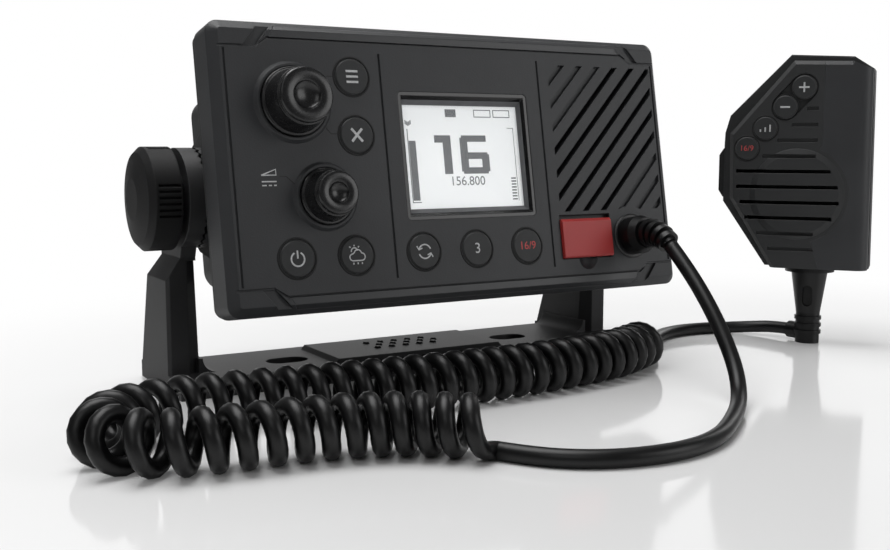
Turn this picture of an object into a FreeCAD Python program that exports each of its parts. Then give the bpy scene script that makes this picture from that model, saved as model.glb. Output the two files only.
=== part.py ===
import FreeCAD, Part
import math
import os

# VHF marine radio on its gimbal bracket, with a curly cord and a fist microphone.
# Millimetres, +Z up, +X to the right of someone facing the radio, +Y away from them.
# Origin: middle of the bracket's base, between its two mounting slots, on its underside.

V = FreeCAD.Vector

# ---------------------------------------------------------------- driving dimensions
# radio head
FACE_WIDTH = 177.0
FACE_HEIGHT = 92.0
FACE_CORNER = 4.0
FACE_BEVEL = 3.0
FACE_WALL = 3.0
BEZEL_DEPTH = 14.0
BEZEL_WALL = 2.6
SEAL_THICKNESS = 1.5
HEAD_TILT = 10.2
RIM_CORNER = 2.5
TRIM_THICKNESS = 1.6
TRIM_FIT = 0.1
TRIM_HEIGHT = 5.3
TRIM_HALF_LENGTH = 69.2
TRIM_SLANT = 4.2
NOTCH_INSET = 22.5
NOTCH_TOP_WIDTH = 4.6
NOTCH_FOOT_WIDTH = 4.4
NOTCH_SLANT = 7.6
NOTCH_DROP = 8.0
NOTCH_DEPTH = 1.1
GROOVE_WIDTH = 0.7
GROOVE_DEPTH = 0.6
EDGE_GROOVE_INSETS = ((-1.0, 8.3), (14.3, 8.3), (18.5, 5.5))
PANEL_GROOVE_INSET = 4.2
PANEL_GROOVE_PLACE = 31.5
PANEL_GROOVE_END = 9.5

# rear case
FLANGE_INSET = 0.6
FLANGE_THICKNESS = 2.0
TUB_WIDTH = 152.0
TUB_HEIGHT = 80.0
TUB_DEPTH = 10.5
CASE_WIDTH = 146.0
CASE_HEIGHT = 70.0
CASE_RISE = 1.0
CASE_DEPTH = 58.5
CASE_WALL = 2.5
CASE_CORNER = 7.0
CHEEK_REACH = 8.2
CHEEK_RIM = 1.7
TUB_CORNER = 6.0
TUB_BEVEL = 1.5
CASE_BEVEL = 3.0
POST_RADIUS = 3.0
POST_INSET = (13.0, 12.0)
FIN_COUNT = 9
FIN_START = -8.0
FIN_PITCH = 8.6
FIN_THICKNESS = 2.0
FIN_DEPTH = 7.0
FIN_HEIGHT = 54.0
FIN_NOSE = (3.0, 5.0)
TOP_RIB_COUNT = 9
TOP_RIB_PITCH = 14.0
TOP_RIB_HEIGHT = 1.6
TOP_RIB_THICKNESS = 2.0
SCREW_INSET = 6.6
SCREW_RADIUS = 1.5
SCREW_HEAD = 2.8
SCREW_HEAD_HEIGHT = 1.5
SCREW_HEAD_CLEARANCE = 0.3
SCREW_BOSS = 3.4
SCREW_END = 6.0
BOARD_POST = 2.2
INSERT_RADIUS = 5.0
INSERT_LENGTH = 7.0
MAIN_BOARD_FRONT = 44.0
MAIN_BOARD_MARGIN = 4.5
SHIELD_BOX = (46.0, 34.0, 18.0, 6.0)
SHIELD_HEIGHT = 8.0
TRANSISTOR_BOX = (16.0, 12.0, -34.0, 16.0)
TRANSISTOR_HEIGHT = 4.0
FRONT_BOARD_RIGHT = 34.0
FRONT_BOARD_GAP = (1.0, 1.5)

# gimbal
PIVOT_HEIGHT = 66.0
PIVOT_BACK = -2.4
PIVOT_DEPTH = 47.5
PIVOT_DROP = 2.9
RING_OUTER = 17.0
RING_INNER = 11.0
TOOTH_COUNT = 32
TOOTH_HEIGHT = 0.9
TOOTH_GAP = 0.3
TOOTH_GROOVE = 0.82
STUD_RADIUS = 3.0
STUD_CLEARANCE = 0.2
WASHER_THICKNESS = 1.0
WASHER_RADIUS = 9.0
KNOB_RADIUS = 17.4
KNOB_LENGTH = 11.8
KNOB_DOME = 1.6
KNOB_FOOT = 14.0
KNOB_RIB_ZONES = 4
KNOB_RIBS = 6
KNOB_RIB_PITCH = 6.6
KNOB_RIB_GROOVE = 0.9
KNOB_FLOOR = 3.0

# bracket
LEG_SPLAY = 1.7
LEG_PLATE = 5.3
LEG_THICKNESS = 10.2
LEG_FRONT = -6.5
LEG_BACK_TOP = 15.5
LEG_BACK_BASE = 28.0
BASE_FRONT = -20.0
BASE_THICKNESS = 6.0
BASE_FILLET = 5.0
PAD_HALF_WIDTH = 34.0
BUMP_RADIUS = 1.6
BUMP_HEIGHT = 0.65
PAD_HEIGHT = 1.6
SLOT_SPACING = 96.3
SLOT_LENGTH = 12.0
SLOT_WIDTH = 6.4
SLOT_RECESS_LENGTH = 15.6
SLOT_RECESS_WIDTH = 10.0
SLOT_RECESS_DEPTH = 2.4

# controls on the face: places are (across, up) from the middle of the face
KEY_RADIUS = 6.0
KEY_CLEARANCE = 0.3
KEY_PROUD = 0.5
KEY_TRAVEL = 0.8
KEY_FLANGE = 0.9
KEY_FLANGE_REACH = 0.8
SWITCH_HEIGHT = 0.9
SWITCH_SIZE = 6.0
MAT_THICKNESS = 1.2
MAT_ROW = (-73.5, 28.5, -36.0, -21.6)
MAT_COLUMN = (-50.0, -33.5, -22.0, 36.0)
MAT_PLUNGER = 2.6
KEY_PLACES = {
    "menu_key": (-41.9, 28.9),
    "cancel_key": (-41.9, 9.9),
    "power_key": (-65.9, -28.8),
    "weather_key": (-45.5, -28.8),
    "scan_key": (-20.8, -28.8),
    "channel_3_key": (-0.2, -28.8),
    "channel_16_key": (20.4, -28.8),
}
SHAFT_RADIUS = 3.0
SHAFT_CLEARANCE = 0.05
PUSH_TRAVEL = 0.7
CHANNEL_PLACE = (-62.9, 20.2)
CHANNEL_RING = 12.4
CHANNEL_BASE = 11.0
CHANNEL_TOP = 8.3
CHANNEL_HEIGHT = 11.0
CHANNEL_DIMPLE = 4.2
VOLUME_PLACE = (-54.5, -9.7)
VOLUME_RING = 10.4
VOLUME_BASE = 9.0
VOLUME_TOP = 6.5
VOLUME_HEIGHT = 9.5
VOLUME_DIMPLE = 3.0
ENCODER_SIZE = 12.0
ENCODER_DEPTH = 7.0

# display
WINDOW_PLACE = (0.0, 3.2)
WINDOW_WIDTH = 51.4
WINDOW_HEIGHT = 43.0
WINDOW_CORNER = 1.5
SCREEN_WIDTH = 45.6
SCREEN_HEIGHT = 35.2
LENS_THICKNESS = 0.8
PANEL_THICKNESS = 3.6

# loudspeaker grille
GRILLE_LEFT = 36.2
GRILLE_RIGHT = 83.2
GRILLE_TOP = 35.7
GRILLE_BOTTOM = -17.3
GRILLE_ANGLE = 45.5
GRILLE_PITCH = 8.3
GRILLE_SLOT = 1.9
GRILLE_FIRST = 29.3
GRILLE_OPEN_FROM = 3
GRILLE_OPEN_TO = 8
GRILLE_COUNT = 13
GRILLE_BLIND_DEPTH = 1.2
SPEAKER_PLACE = (59.5, 9.0)
SPEAKER_RADIUS = 22.5
SPEAKER_DEPTH = 17.0
CLOTH_THICKNESS = 0.4

# distress cover
COVER_LEFT = 35.7
COVER_WIDTH = 21.9
COVER_TOP = -20.1
COVER_HEIGHT = 14.0
COVER_THICKNESS = 1.2
COVER_GAP = 0.35
COVER_TOP_GAP = 1.5
COVER_PIN_RADIUS = 0.5
COVER_PIN_DROP = 0.9
COVER_PIN_DEPTH = 0.8
COVER_BARREL = 1.0
COVER_PIN_REACH = 1.5
POCKET_DEPTH = 2.1
DISTRESS_RADIUS = 4.0

# microphone socket and plug
PLUG_PLACE = (67.5, -27.3)
SOCKET_RADIUS = 8.2
SOCKET_PROUD = 0.8
SOCKET_NECK = 6.6
PLUG_BARREL = 5.0
PLUG_REACH = 7.0
PLUG_GRIP = 9.0
PLUG_RADIUS = 6.9
PLUG_RIBS = 4
PLUG_BEND = 50.0
PLUG_BEND_RADIUS = 15.0
PLUG_TIP = 3.9

# rear sockets, places are (across, up) from the middle of the face
SOCKET_INSET = 21.0
GLAND_INSET = 45.0
ANTENNA_PLACE = (SOCKET_INSET - CASE_WIDTH / 2, 6.0)
ANTENNA_THREAD_RADIUS = 7.9
ANTENNA_BARREL = 6.0
ANTENNA_FLANGE = 25.4
ANTENNA_LENGTH = 13.0
NETWORK_PLACE = (SOCKET_INSET - CASE_WIDTH / 2, -18.0)
NETWORK_THREAD_RADIUS = 6.0
NETWORK_LENGTH = 9.0
NETWORK_PIN_RADIUS = 0.6
NETWORK_PIN_CIRCLE = 2.8
NETWORK_PIN_COUNT = 4
GLAND_PLACE = (GLAND_INSET - CASE_WIDTH / 2, -22.0)
GLAND_RADIUS = 6.5
GLAND_BORE = 3.0

# cord
CORD_DIAMETER = 5.0
CORD_SIDES = 12
COIL_DIAMETER = 18.0
LEAD_END_RUN = 12.5
BOOT_END_RUN = 8.0

# microphone: its own frame has the front facing -Y and the boot's axis at x = 0
HANDSET_PLACE = (173.0, -49.1)
HANDSET_TURN = 54.0
HANDSET_FRONT = -16.0
HANDSET_SPLIT = -6.0
HANDSET_BACK = 13.0
HANDSET_WALL = 2.2
MIC_BOTTOM = 33.0
HANDSET_KEY_RADIUS = 4.8
HANDSET_KEY_PROUD = 0.6
HANDSET_KEY_FLANGE = 0.5
HANDSET_KEY_PLACES = {
    "mic_up_key": (-6.2, 107.1),
    "mic_down_key": (-13.4, 99.2),
    "mic_power_key": (-21.0, 90.6),
    "mic_channel_key": (-28.2, 82.4),
}
DISC_PLACE = (-7.8, 63.7)
DISC_RADIUS = 18.6
MIC_SLOT_HEIGHT = 1.5
MIC_SLOTS = (
    (-5.0, -0.4, 98.5),
    (-10.6, -0.4, 92.0),
    (-16.2, -0.4, 85.7),
    (-22.0, -0.8, 79.2),
    (-32.3, 5.2, 73.0),
    (-32.2, 8.2, 66.6),
    (-30.6, 8.8, 60.2),
    (-28.4, 6.2, 53.8),
    (-23.3, -0.8, 47.4),
    (-18.7, 0.0, 41.0),
)
MIC_SLOTS_OPEN = (52.0, 75.0)
MIC_BLIND_DEPTH = 1.0
MIC_EDGE_RADIUS = 5.0
MIC_SCREW_PLACES = ((-8.0, 112.0), (-14.0, 40.0), (13.0, 40.0))
BAR_SEAT = 39.0
BAR_PROUD = 2.5
BAR_FRONT = -3.5
BAR_BACK = 8.5
BAR_LOW = 61.5
BAR_HIGH = 82.5
BUTTON_PLACE = (-6.0, 96.0)
BUTTON_NECK = 3.0
BUTTON_HEAD = 7.5
BOOT_ACROSS = -2.9
BOOT_LENGTH = MIC_BOTTOM
BOOT_TOP = 7.4
BOOT_TIP = 4.9
BOOT_RIBS = 3
BOOT_RIB_START = 4.0
BOOT_RIB_END = 13.0
BOOT_RIB_HEIGHT = 0.6
BOOT_COLLAR = 2.6
BOOT_COLLAR_HEIGHT = 2.4
BOOT_ELBOW = 9.0
BOOT_EXIT_LEVEL = 4.4
BOOT_EXIT_TURN = 95.0

# ---------------------------------------------------------------- values worked out from them
TILT = math.radians(HEAD_TILT)
FLANGE_FRONT = BEZEL_DEPTH + SEAL_THICKNESS
FLANGE_BACK = FLANGE_FRONT + FLANGE_THICKNESS
TUB_BACK = FLANGE_FRONT + TUB_DEPTH
CASE_BACK = FLANGE_FRONT + CASE_DEPTH
HEAD_ORIGIN = V(0.0,
                PIVOT_BACK - PIVOT_DEPTH * math.cos(TILT) + PIVOT_DROP * math.sin(TILT),
                PIVOT_HEIGHT + PIVOT_DEPTH * math.sin(TILT) + PIVOT_DROP * math.cos(TILT))
CHEEK_FACE = CASE_WIDTH / 2 + CHEEK_REACH
HEAD_RING_CREST = CHEEK_FACE + TOOTH_HEIGHT
LEG_INNER_TOP = HEAD_RING_CREST + TOOTH_GAP + TOOTH_HEIGHT
LEG_INNER_BASE = LEG_INNER_TOP - LEG_SPLAY
LEG_OUTER = LEG_INNER_TOP + LEG_THICKNESS
LEG_BOSS_FACE = LEG_INNER_TOP + LEG_PLATE
WASHER_INNER = LEG_BOSS_FACE + 0.05
KNOB_INNER = WASHER_INNER + WASHER_THICKNESS + 0.05
BOARD_THICKNESS = 1.6
BOARD_FRONT = FLANGE_FRONT + 0.6
SHAFT_HOLE = SHAFT_RADIUS + SHAFT_CLEARANCE
KEY_BACK = FACE_WALL + KEY_FLANGE + 0.1
MAT_FRONT = KEY_BACK + KEY_TRAVEL + 0.1
ENCODER_FRONT = BOARD_FRONT - ENCODER_DEPTH
PIN_UP = COVER_TOP - COVER_PIN_DROP
COIL_LEVEL = COIL_DIAMETER / 2
LEAD_LEVEL = CORD_DIAMETER / 2
PAD_TOP = BASE_THICKNESS + PAD_HEIGHT


# ---------------------------------------------------------------- helpers
def block(x0, x1, y0, y1, z0, z1):
    """Box between two opposite corners."""
    return Part.makeBox(x1 - x0, y1 - y0, z1 - z0, V(x0, y0, z0))


def rod(radius, start, end):
    """Round bar from one point to another."""
    axis = end - start
    return Part.makeCylinder(radius, axis.Length, start, axis)


def corner_arc(before, corner, after, setback):
    """Arc that rounds a corner and touches both of its sides at the same distance from it."""
    a = (before - corner).normalize()
    b = (after - corner).normalize()
    half = a.getAngle(b) / 2
    radius = setback * math.tan(half)
    middle = corner + (a + b).normalize() * (setback / math.cos(half) - radius)
    start = corner + a * setback
    end = corner + b * setback
    return Part.Arc(start, middle, end).toShape(), start, end, radius


def outline(points, radius):
    """Closed wire through flat points, with every corner rounded to one radius (0 keeps them sharp)."""
    if radius <= 0:
        return Part.makePolygon(points + [points[0]])
    edges = []
    ends = []
    count = len(points)
    for i in range(count):
        before, corner, after = points[i - 1], points[i], points[(i + 1) % count]
        half = (before - corner).getAngle(after - corner) / 2
        arc, start, end, _ = corner_arc(before, corner, after, radius / math.tan(half))
        ends.append((arc, start, end))
    for i in range(count):
        arc, start, end = ends[i]
        following = ends[(i + 1) % count][1]
        edges.append(arc)
        if end.distanceToPoint(following) > 1e-6:
            edges.append(Part.LineSegment(end, following).toShape())
    return Part.Wire(edges)


def plate(points, y0, y1, radius=0.0):
    """Flat shape given by (x, z) points, from depth y0 to depth y1."""
    wire = outline([V(x, y0, z) for x, z in points], radius)
    return Part.Face(wire).extrude(V(0, y1 - y0, 0))


def side_plate(points, x0, x1, radius=0.0):
    """Flat shape given by (y, z) points, from x0 to x1."""
    wire = outline([V(x0, y, z) for y, z in points], radius)
    return Part.Face(wire).extrude(V(x1 - x0, 0, 0))


def upright(points, z0, z1):
    """Straight-sided shape given by (x, y) points, from level z0 to level z1."""
    corners = [V(x, y, z0) for x, y in points]
    return Part.Face(Part.makePolygon(corners + [corners[0]])).extrude(V(0, 0, z1 - z0))


def rectangle(width, height, across=0.0, up=0.0):
    """Corners of a rectangle round a middle point, as (x, z)."""
    w, h = width / 2, height / 2
    return [(across - w, up - h), (across + w, up - h), (across + w, up + h), (across - w, up + h)]


def turned(profile, place):
    """Solid of revolution about a line along Y through place, from (radius, depth) points."""
    x, z = place
    points = [V(x + r, y, z) for r, y in profile]
    face = Part.Face(Part.makePolygon(points + [points[0]]))
    return face.revolve(V(x, 0, z), V(0, 1, 0), 360)


def round_bar(radius, place, y0, y1):
    """Round bar along Y at an (x, z) place."""
    return rod(radius, V(place[0], y0, place[1]), V(place[0], y1, place[1]))


def stadium(length, width, cx, cy, z0, z1):
    """Upright slot shape, long along X."""
    r = width / 2
    run = length / 2 - r
    body = block(cx - run, cx + run, cy - r, cy + r, z0, z1)
    ends = [Part.makeCylinder(r, z1 - z0, V(cx + s * run, cy, z0)) for s in (-1, 1)]
    return body.fuse(ends).removeSplitter()


def tapered(front, y0, back, y1):
    """Solid between two outlines with the same number of (x, z) points."""
    wires = [Part.makePolygon([V(x, y, z) for x, z in pts + [pts[0]]])
             for pts, y in ((front, y0), (back, y1))]
    return Part.makeLoft(wires, True, True)


def mirrored(shape):
    """The same shape on the other side of the middle plane."""
    return shape.mirror(V(0, 0, 0), V(1, 0, 0))


def on_head(shape):
    """Tilts a shape made upright behind the face plane and sets it on the gimbal."""
    placed = shape.copy()
    placed.rotate(V(0, 0, 0), V(1, 0, 0), -HEAD_TILT)
    placed.translate(HEAD_ORIGIN)
    return placed


def on_handset(shape):
    """Turns a shape made in the microphone's frame and stands it in its place."""
    placed = shape.copy()
    placed.rotate(V(0, 0, 0), V(0, 0, 1), -HANDSET_TURN)
    placed.translate(V(HANDSET_PLACE[0], HANDSET_PLACE[1], 0))
    return placed


def toothed_ring(y, z, base_x, crest_x, offset):
    """Ring of radial teeth round an axis along X, from the face it stands on to its crests."""
    height = crest_x - base_x
    low = min(base_x, crest_x)
    ring = Part.makeCylinder(RING_OUTER, abs(height), V(low, y, z), V(1, 0, 0))
    ring = ring.cut(Part.makeCylinder(RING_INNER, abs(height), V(low, y, z), V(1, 0, 0)))
    step = 360.0 / TOOTH_COUNT
    cutters = []
    for i in range(TOOTH_COUNT):
        ends = []
        for radius in (RING_INNER - 0.5, RING_OUTER + 0.5):
            half = math.pi * radius / TOOTH_COUNT * TOOTH_GROOVE
            points = [V(crest_x + height * 0.02, -half, radius), V(crest_x + height * 0.02, half, radius),
                      V(base_x + height * 0.1, 0, radius)]
            ends.append(Part.makePolygon(points + [points[0]]))
        groove = Part.makeLoft(ends, True, True)
        groove.rotate(V(0, 0, 0), V(1, 0, 0), offset + i * step)
        groove.translate(V(0, y, z))
        cutters.append(groove)
    return ring.cut(cutters)


def cord_section(start, along, diameter):
    """Closed many-sided wire square to a direction: a round cord's area, with a flat side down."""
    along = V(along).normalize()
    side = V(-along.y, along.x, 0).normalize()
    up = along.cross(side)
    wedge = 2 * math.pi / CORD_SIDES
    spoke = diameter / 2 * math.sqrt(wedge / math.sin(wedge))
    corners = []
    for i in range(CORD_SIDES):
        turn = wedge * (i + 0.5)
        corners.append(start + side * (spoke * math.cos(turn)) + up * (spoke * math.sin(turn)))
    return Part.makePolygon(corners + [corners[0]])


def cord_tube(name, points, diameter):
    """Tube of straight runs joined by tangent arcs. Prints its length and its tightest bend."""
    runs = [(points[i + 1] - points[i]).Length for i in range(len(points) - 1)]
    section = Part.Face(cord_section(points[0], points[1] - points[0], diameter))
    pieces = []
    radii = []
    length = 0.0
    last = points[0]
    for i in range(1, len(points) - 1):
        setback = 0.45 * min(runs[i - 1], runs[i])
        arc, start, end, radius = corner_arc(points[i - 1], points[i], points[i + 1], setback)
        pieces.append(section.extrude(start - last))
        section.translate(start - last)
        circle = arc.Curve
        turn = math.degrees(arc.LastParameter - arc.FirstParameter)
        pieces.append(section.revolve(circle.Center, circle.Axis, turn))
        section.rotate(circle.Center, circle.Axis, turn)
        length += (start - last).Length + arc.Length
        radii.append(radius)
        last = end
    pieces.append(section.extrude(points[-1] - last))
    length += (points[-1] - last).Length
    tube = pieces[0].fuse(pieces[1:]).Solids[0]
    print(name, "length", round(length, 1), "tightest bend", round(min(radii), 1))
    return tube


# ---------------------------------------------------------------- bracket
def pad_bump(x, y):
    """Low six-sided bump on top of the pad."""
    wires = []
    for radius, level in ((BUMP_RADIUS, -0.05), (BUMP_RADIUS - 0.5, BUMP_HEIGHT)):
        z = BASE_THICKNESS + PAD_HEIGHT + level
        corners = [V(x + radius * math.cos(math.pi / 3 * i), y + radius * math.sin(math.pi / 3 * i), z)
                   for i in range(6)]
        wires.append(Part.makePolygon(corners + [corners[0]]))
    return Part.makeLoft(wires, True, True)


def make_bracket():
    """Moulded U bracket: base plate, two legs with pivot discs, toothed rings and mounting slots."""
    base = block(-LEG_OUTER, LEG_OUTER, BASE_FRONT, LEG_BACK_BASE, 0, BASE_THICKNESS)
    slope = side_plate([(LEG_BACK_BASE - 6, BASE_THICKNESS + 0.1), (LEG_BACK_BASE + 0.1, 2.6),
                        (LEG_BACK_BASE + 0.1, BASE_THICKNESS + 0.1)], -LEG_INNER_BASE, LEG_INNER_BASE)
    front_slope = side_plate([(BASE_FRONT - 0.1, 3.0), (BASE_FRONT + 3, BASE_THICKNESS + 0.1),
                              (BASE_FRONT - 0.1, BASE_THICKNESS + 0.1)], -LEG_OUTER, LEG_OUTER)
    base = base.cut([slope, front_slope])
    pad_section = [(-PAD_HALF_WIDTH - 2, BASE_THICKNESS - 0.5), (PAD_HALF_WIDTH + 2, BASE_THICKNESS - 0.5),
                   (PAD_HALF_WIDTH, PAD_TOP), (-PAD_HALF_WIDTH, PAD_TOP)]
    pad = tapered(pad_section, BASE_FRONT + 5, pad_section, LEG_BACK_BASE - 11)
    bumps = []
    for row in range(3):
        for column in range(5):
            x = -12 + 6 * column + (3 if row % 2 else 0)
            y = -2 + 5 * row
            bumps.append(pad_bump(x, y))

    profile = [(LEG_FRONT, 0), (LEG_BACK_BASE, 0), (LEG_BACK_BASE, 2.6), (LEG_BACK_TOP, 43),
               (PIVOT_BACK + RING_OUTER - 0.4, PIVOT_HEIGHT - 4), (PIVOT_BACK, PIVOT_HEIGHT),
               (LEG_FRONT - 3, PIVOT_HEIGHT - 13), (LEG_FRONT, PIVOT_HEIGHT - 20)]
    thin = side_plate(profile, LEG_INNER_TOP, LEG_BOSS_FACE)
    disc = Part.makeCylinder(RING_OUTER, LEG_PLATE, V(LEG_INNER_TOP, PIVOT_BACK, PIVOT_HEIGHT), V(1, 0, 0))
    shoulder = PIVOT_HEIGHT - RING_OUTER - 3
    thick_profile = [(LEG_FRONT, 0), (LEG_BACK_BASE, 0), (LEG_BACK_BASE, 2.6), (LEG_BACK_TOP, 43),
                     (LEG_BACK_TOP - 1, shoulder), (LEG_FRONT, shoulder)]
    thick = side_plate(thick_profile, LEG_BOSS_FACE, LEG_OUTER)
    bevel = plate([(LEG_OUTER + 1, shoulder - 9), (LEG_OUTER + 1, shoulder + 1), (LEG_BOSS_FACE, shoulder + 1),
                   (LEG_BOSS_FACE, shoulder)], -30, 50)
    thick = thick.cut(bevel)
    lean = plate([(LEG_INNER_BASE, 0), (LEG_INNER_TOP + 0.5, 0), (LEG_INNER_TOP + 0.5, shoulder),
                  (LEG_INNER_TOP, shoulder)], -30, 50)
    inner = side_plate(thick_profile, LEG_INNER_BASE - 1, LEG_INNER_TOP + 0.5).common(lean)
    leg = thin.fuse([disc, thick, inner])
    edge = LEG_FRONT - 0.1
    inner_bevel = upright([(LEG_INNER_BASE - 3, edge), (LEG_INNER_TOP + 3.2, edge),
                           (LEG_INNER_BASE - 3, LEG_FRONT + 6.2)], -1, shoulder - 1)
    outer_bevel = upright([(LEG_OUTER + 0.1, edge), (LEG_OUTER - 1.2, edge),
                           (LEG_OUTER + 0.1, LEG_FRONT + 1.2)], -1, shoulder)
    leg = leg.cut(inner_bevel)
    leg = leg.cut(outer_bevel)
    fillet = block(LEG_INNER_BASE - BASE_FILLET, LEG_INNER_BASE + 1.4, LEG_FRONT, LEG_BACK_BASE - 6,
                   BASE_THICKNESS - 0.2, BASE_THICKNESS + BASE_FILLET)
    fillet = fillet.cut(Part.makeCylinder(BASE_FILLET, 60, V(LEG_INNER_BASE - BASE_FILLET, -30,
                                                             BASE_THICKNESS + BASE_FILLET), V(0, 1, 0)))
    ring = toothed_ring(PIVOT_BACK, PIVOT_HEIGHT, LEG_INNER_TOP, LEG_INNER_TOP - TOOTH_HEIGHT, 0)
    leg = leg.fuse([fillet, ring])
    start = V(LEG_INNER_TOP - 20, PIVOT_BACK, PIVOT_HEIGHT)
    hole = Part.makeCylinder(STUD_RADIUS + STUD_CLEARANCE, 60, start, V(1, 0, 0))
    leg = leg.cut(hole)

    bracket = base.fuse([pad, leg, mirrored(leg)] + bumps)
    slots = []
    for side in (-1, 1):
        x = side * SLOT_SPACING / 2
        slots.append(stadium(SLOT_LENGTH, SLOT_WIDTH, x, 0, -1, BASE_THICKNESS + 1))
        slots.append(stadium(SLOT_RECESS_LENGTH, SLOT_RECESS_WIDTH, x, 0,
                             BASE_THICKNESS - SLOT_RECESS_DEPTH, BASE_THICKNESS + 1))
    return bracket.cut(slots).removeSplitter()


# ---------------------------------------------------------------- gimbal knobs
def make_knob():
    """Right-hand gimbal knob: ribbed barrel, bevelled rim and a domed centre, with the stud's hole."""
    outer = KNOB_INNER + KNOB_LENGTH
    profile = [(KNOB_INNER, 0), (KNOB_INNER, KNOB_FOOT), (KNOB_INNER + 1.2, KNOB_FOOT),
               (KNOB_INNER + 1.2, KNOB_RADIUS), (outer - 2.0, KNOB_RADIUS),
               (outer, KNOB_RADIUS - 2.0), (outer + KNOB_DOME, KNOB_RADIUS * 0.4), (outer + KNOB_DOME, 0)]
    points = [V(x, r, 0) for x, r in profile]
    barrel = Part.Face(Part.makePolygon(points + [points[0]])).revolve(V(0, 0, 0), V(1, 0, 0), 360)
    cutters = [Part.makeCylinder(STUD_RADIUS, KNOB_LENGTH - KNOB_FLOOR, V(KNOB_INNER, 0, 0), V(1, 0, 0))]
    for zone in range(KNOB_RIB_ZONES):
        for rib in range(KNOB_RIBS):
            turn = zone * 360.0 / KNOB_RIB_ZONES + (rib - (KNOB_RIBS - 1) / 2) * KNOB_RIB_PITCH
            groove = block(KNOB_INNER + 1.6, outer - 3.0, -KNOB_RIB_GROOVE / 2, KNOB_RIB_GROOVE / 2,
                           KNOB_RADIUS - 1.2, KNOB_RADIUS + 1)
            groove.rotate(V(0, 0, 0), V(1, 0, 0), turn - 90)
            cutters.append(groove)
    knob = barrel.cut(cutters)
    knob.translate(V(0, PIVOT_BACK, PIVOT_HEIGHT))
    return knob


def make_stud():
    """Steel stud moulded into the knob, reaching through the leg into the case's insert."""
    start = V(CHEEK_FACE - 6.0, PIVOT_BACK, PIVOT_HEIGHT)
    return rod(STUD_RADIUS, start, V(KNOB_INNER + KNOB_LENGTH - KNOB_FLOOR, PIVOT_BACK, PIVOT_HEIGHT))


def make_washer():
    """Steel washer between the knob and the leg's pivot disc."""
    start = V(WASHER_INNER, PIVOT_BACK, PIVOT_HEIGHT)
    ring = Part.makeCylinder(WASHER_RADIUS, WASHER_THICKNESS, start, V(1, 0, 0))
    return ring.cut(Part.makeCylinder(STUD_RADIUS + STUD_CLEARANCE, WASHER_THICKNESS, start, V(1, 0, 0)))


# ---------------------------------------------------------------- head: front bezel and its trim
def bezel_envelope():
    """Outer form of the front bezel: rounded corners and a bevel all round the face."""
    body = plate(rectangle(FACE_WIDTH, FACE_HEIGHT), 0, BEZEL_DEPTH, FACE_CORNER)
    front_edges = [e for e in body.Edges if e.BoundBox.YMax < 1e-6]
    return body.makeChamfer(FACE_BEVEL, front_edges)


def trim_outline(grow):
    """Corners of the top trim strip, seen from the front."""
    low = FACE_HEIGHT / 2 - TRIM_HEIGHT - grow
    high = FACE_HEIGHT / 2 + 1
    long = TRIM_HALF_LENGTH + grow
    short = long - TRIM_SLANT
    return [(-long, low), (long, low), (short, high), (-short, high)]


def flipped(points):
    """The same outline upside down."""
    return [(x, -z) for x, z in reversed(points)]


def make_trim(top):
    """Snap-in trim strip along the top or bottom of the bezel, bevelled like the rim."""
    points = trim_outline(0)
    if not top:
        points = flipped(points)
    return bezel_envelope().common(plate(points, -1, TRIM_THICKNESS))


def groove_path(points):
    """Cutters for a narrow groove along a chain of (x, z) points on the face."""
    cutters = []
    half = GROOVE_WIDTH / 2
    for (x0, z0), (x1, z1) in zip(points, points[1:]):
        length = math.hypot(x1 - x0, z1 - z0)
        cutter = block(-half, length + half, -1, GROOVE_DEPTH, -half, half)
        cutter.rotate(V(0, 0, 0), V(0, 1, 0), -math.degrees(math.atan2(z1 - z0, x1 - x0)))
        cutter.translate(V(x0, 0, z0))
        cutters.append(cutter)
    return cutters


def grille_cutters():
    """Slanted grille slots: open ones over the loudspeaker, shallow ones beside it."""
    region = plate([(GRILLE_LEFT, GRILLE_BOTTOM), (GRILLE_RIGHT, GRILLE_BOTTOM),
                    (GRILLE_RIGHT, GRILLE_TOP), (GRILLE_LEFT, GRILLE_TOP)], -1, FACE_WALL + 1)
    region = region.cut(round_bar(SOCKET_RADIUS + 3.0, PLUG_PLACE, -2, FACE_WALL + 2))
    slots = []
    for i in range(GRILLE_COUNT):
        is_open = GRILLE_OPEN_FROM <= i <= GRILLE_OPEN_TO
        depth = FACE_WALL + 1 if is_open else GRILLE_BLIND_DEPTH
        slot = block(-30, 120, -1, depth, -GRILLE_SLOT / 2, GRILLE_SLOT / 2)
        slot.rotate(V(0, 0, 0), V(0, 1, 0), -GRILLE_ANGLE)
        slot.translate(V(GRILLE_LEFT, 0, GRILLE_FIRST - i * GRILLE_PITCH))
        slots.append(slot.common(region))
    return slots


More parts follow.
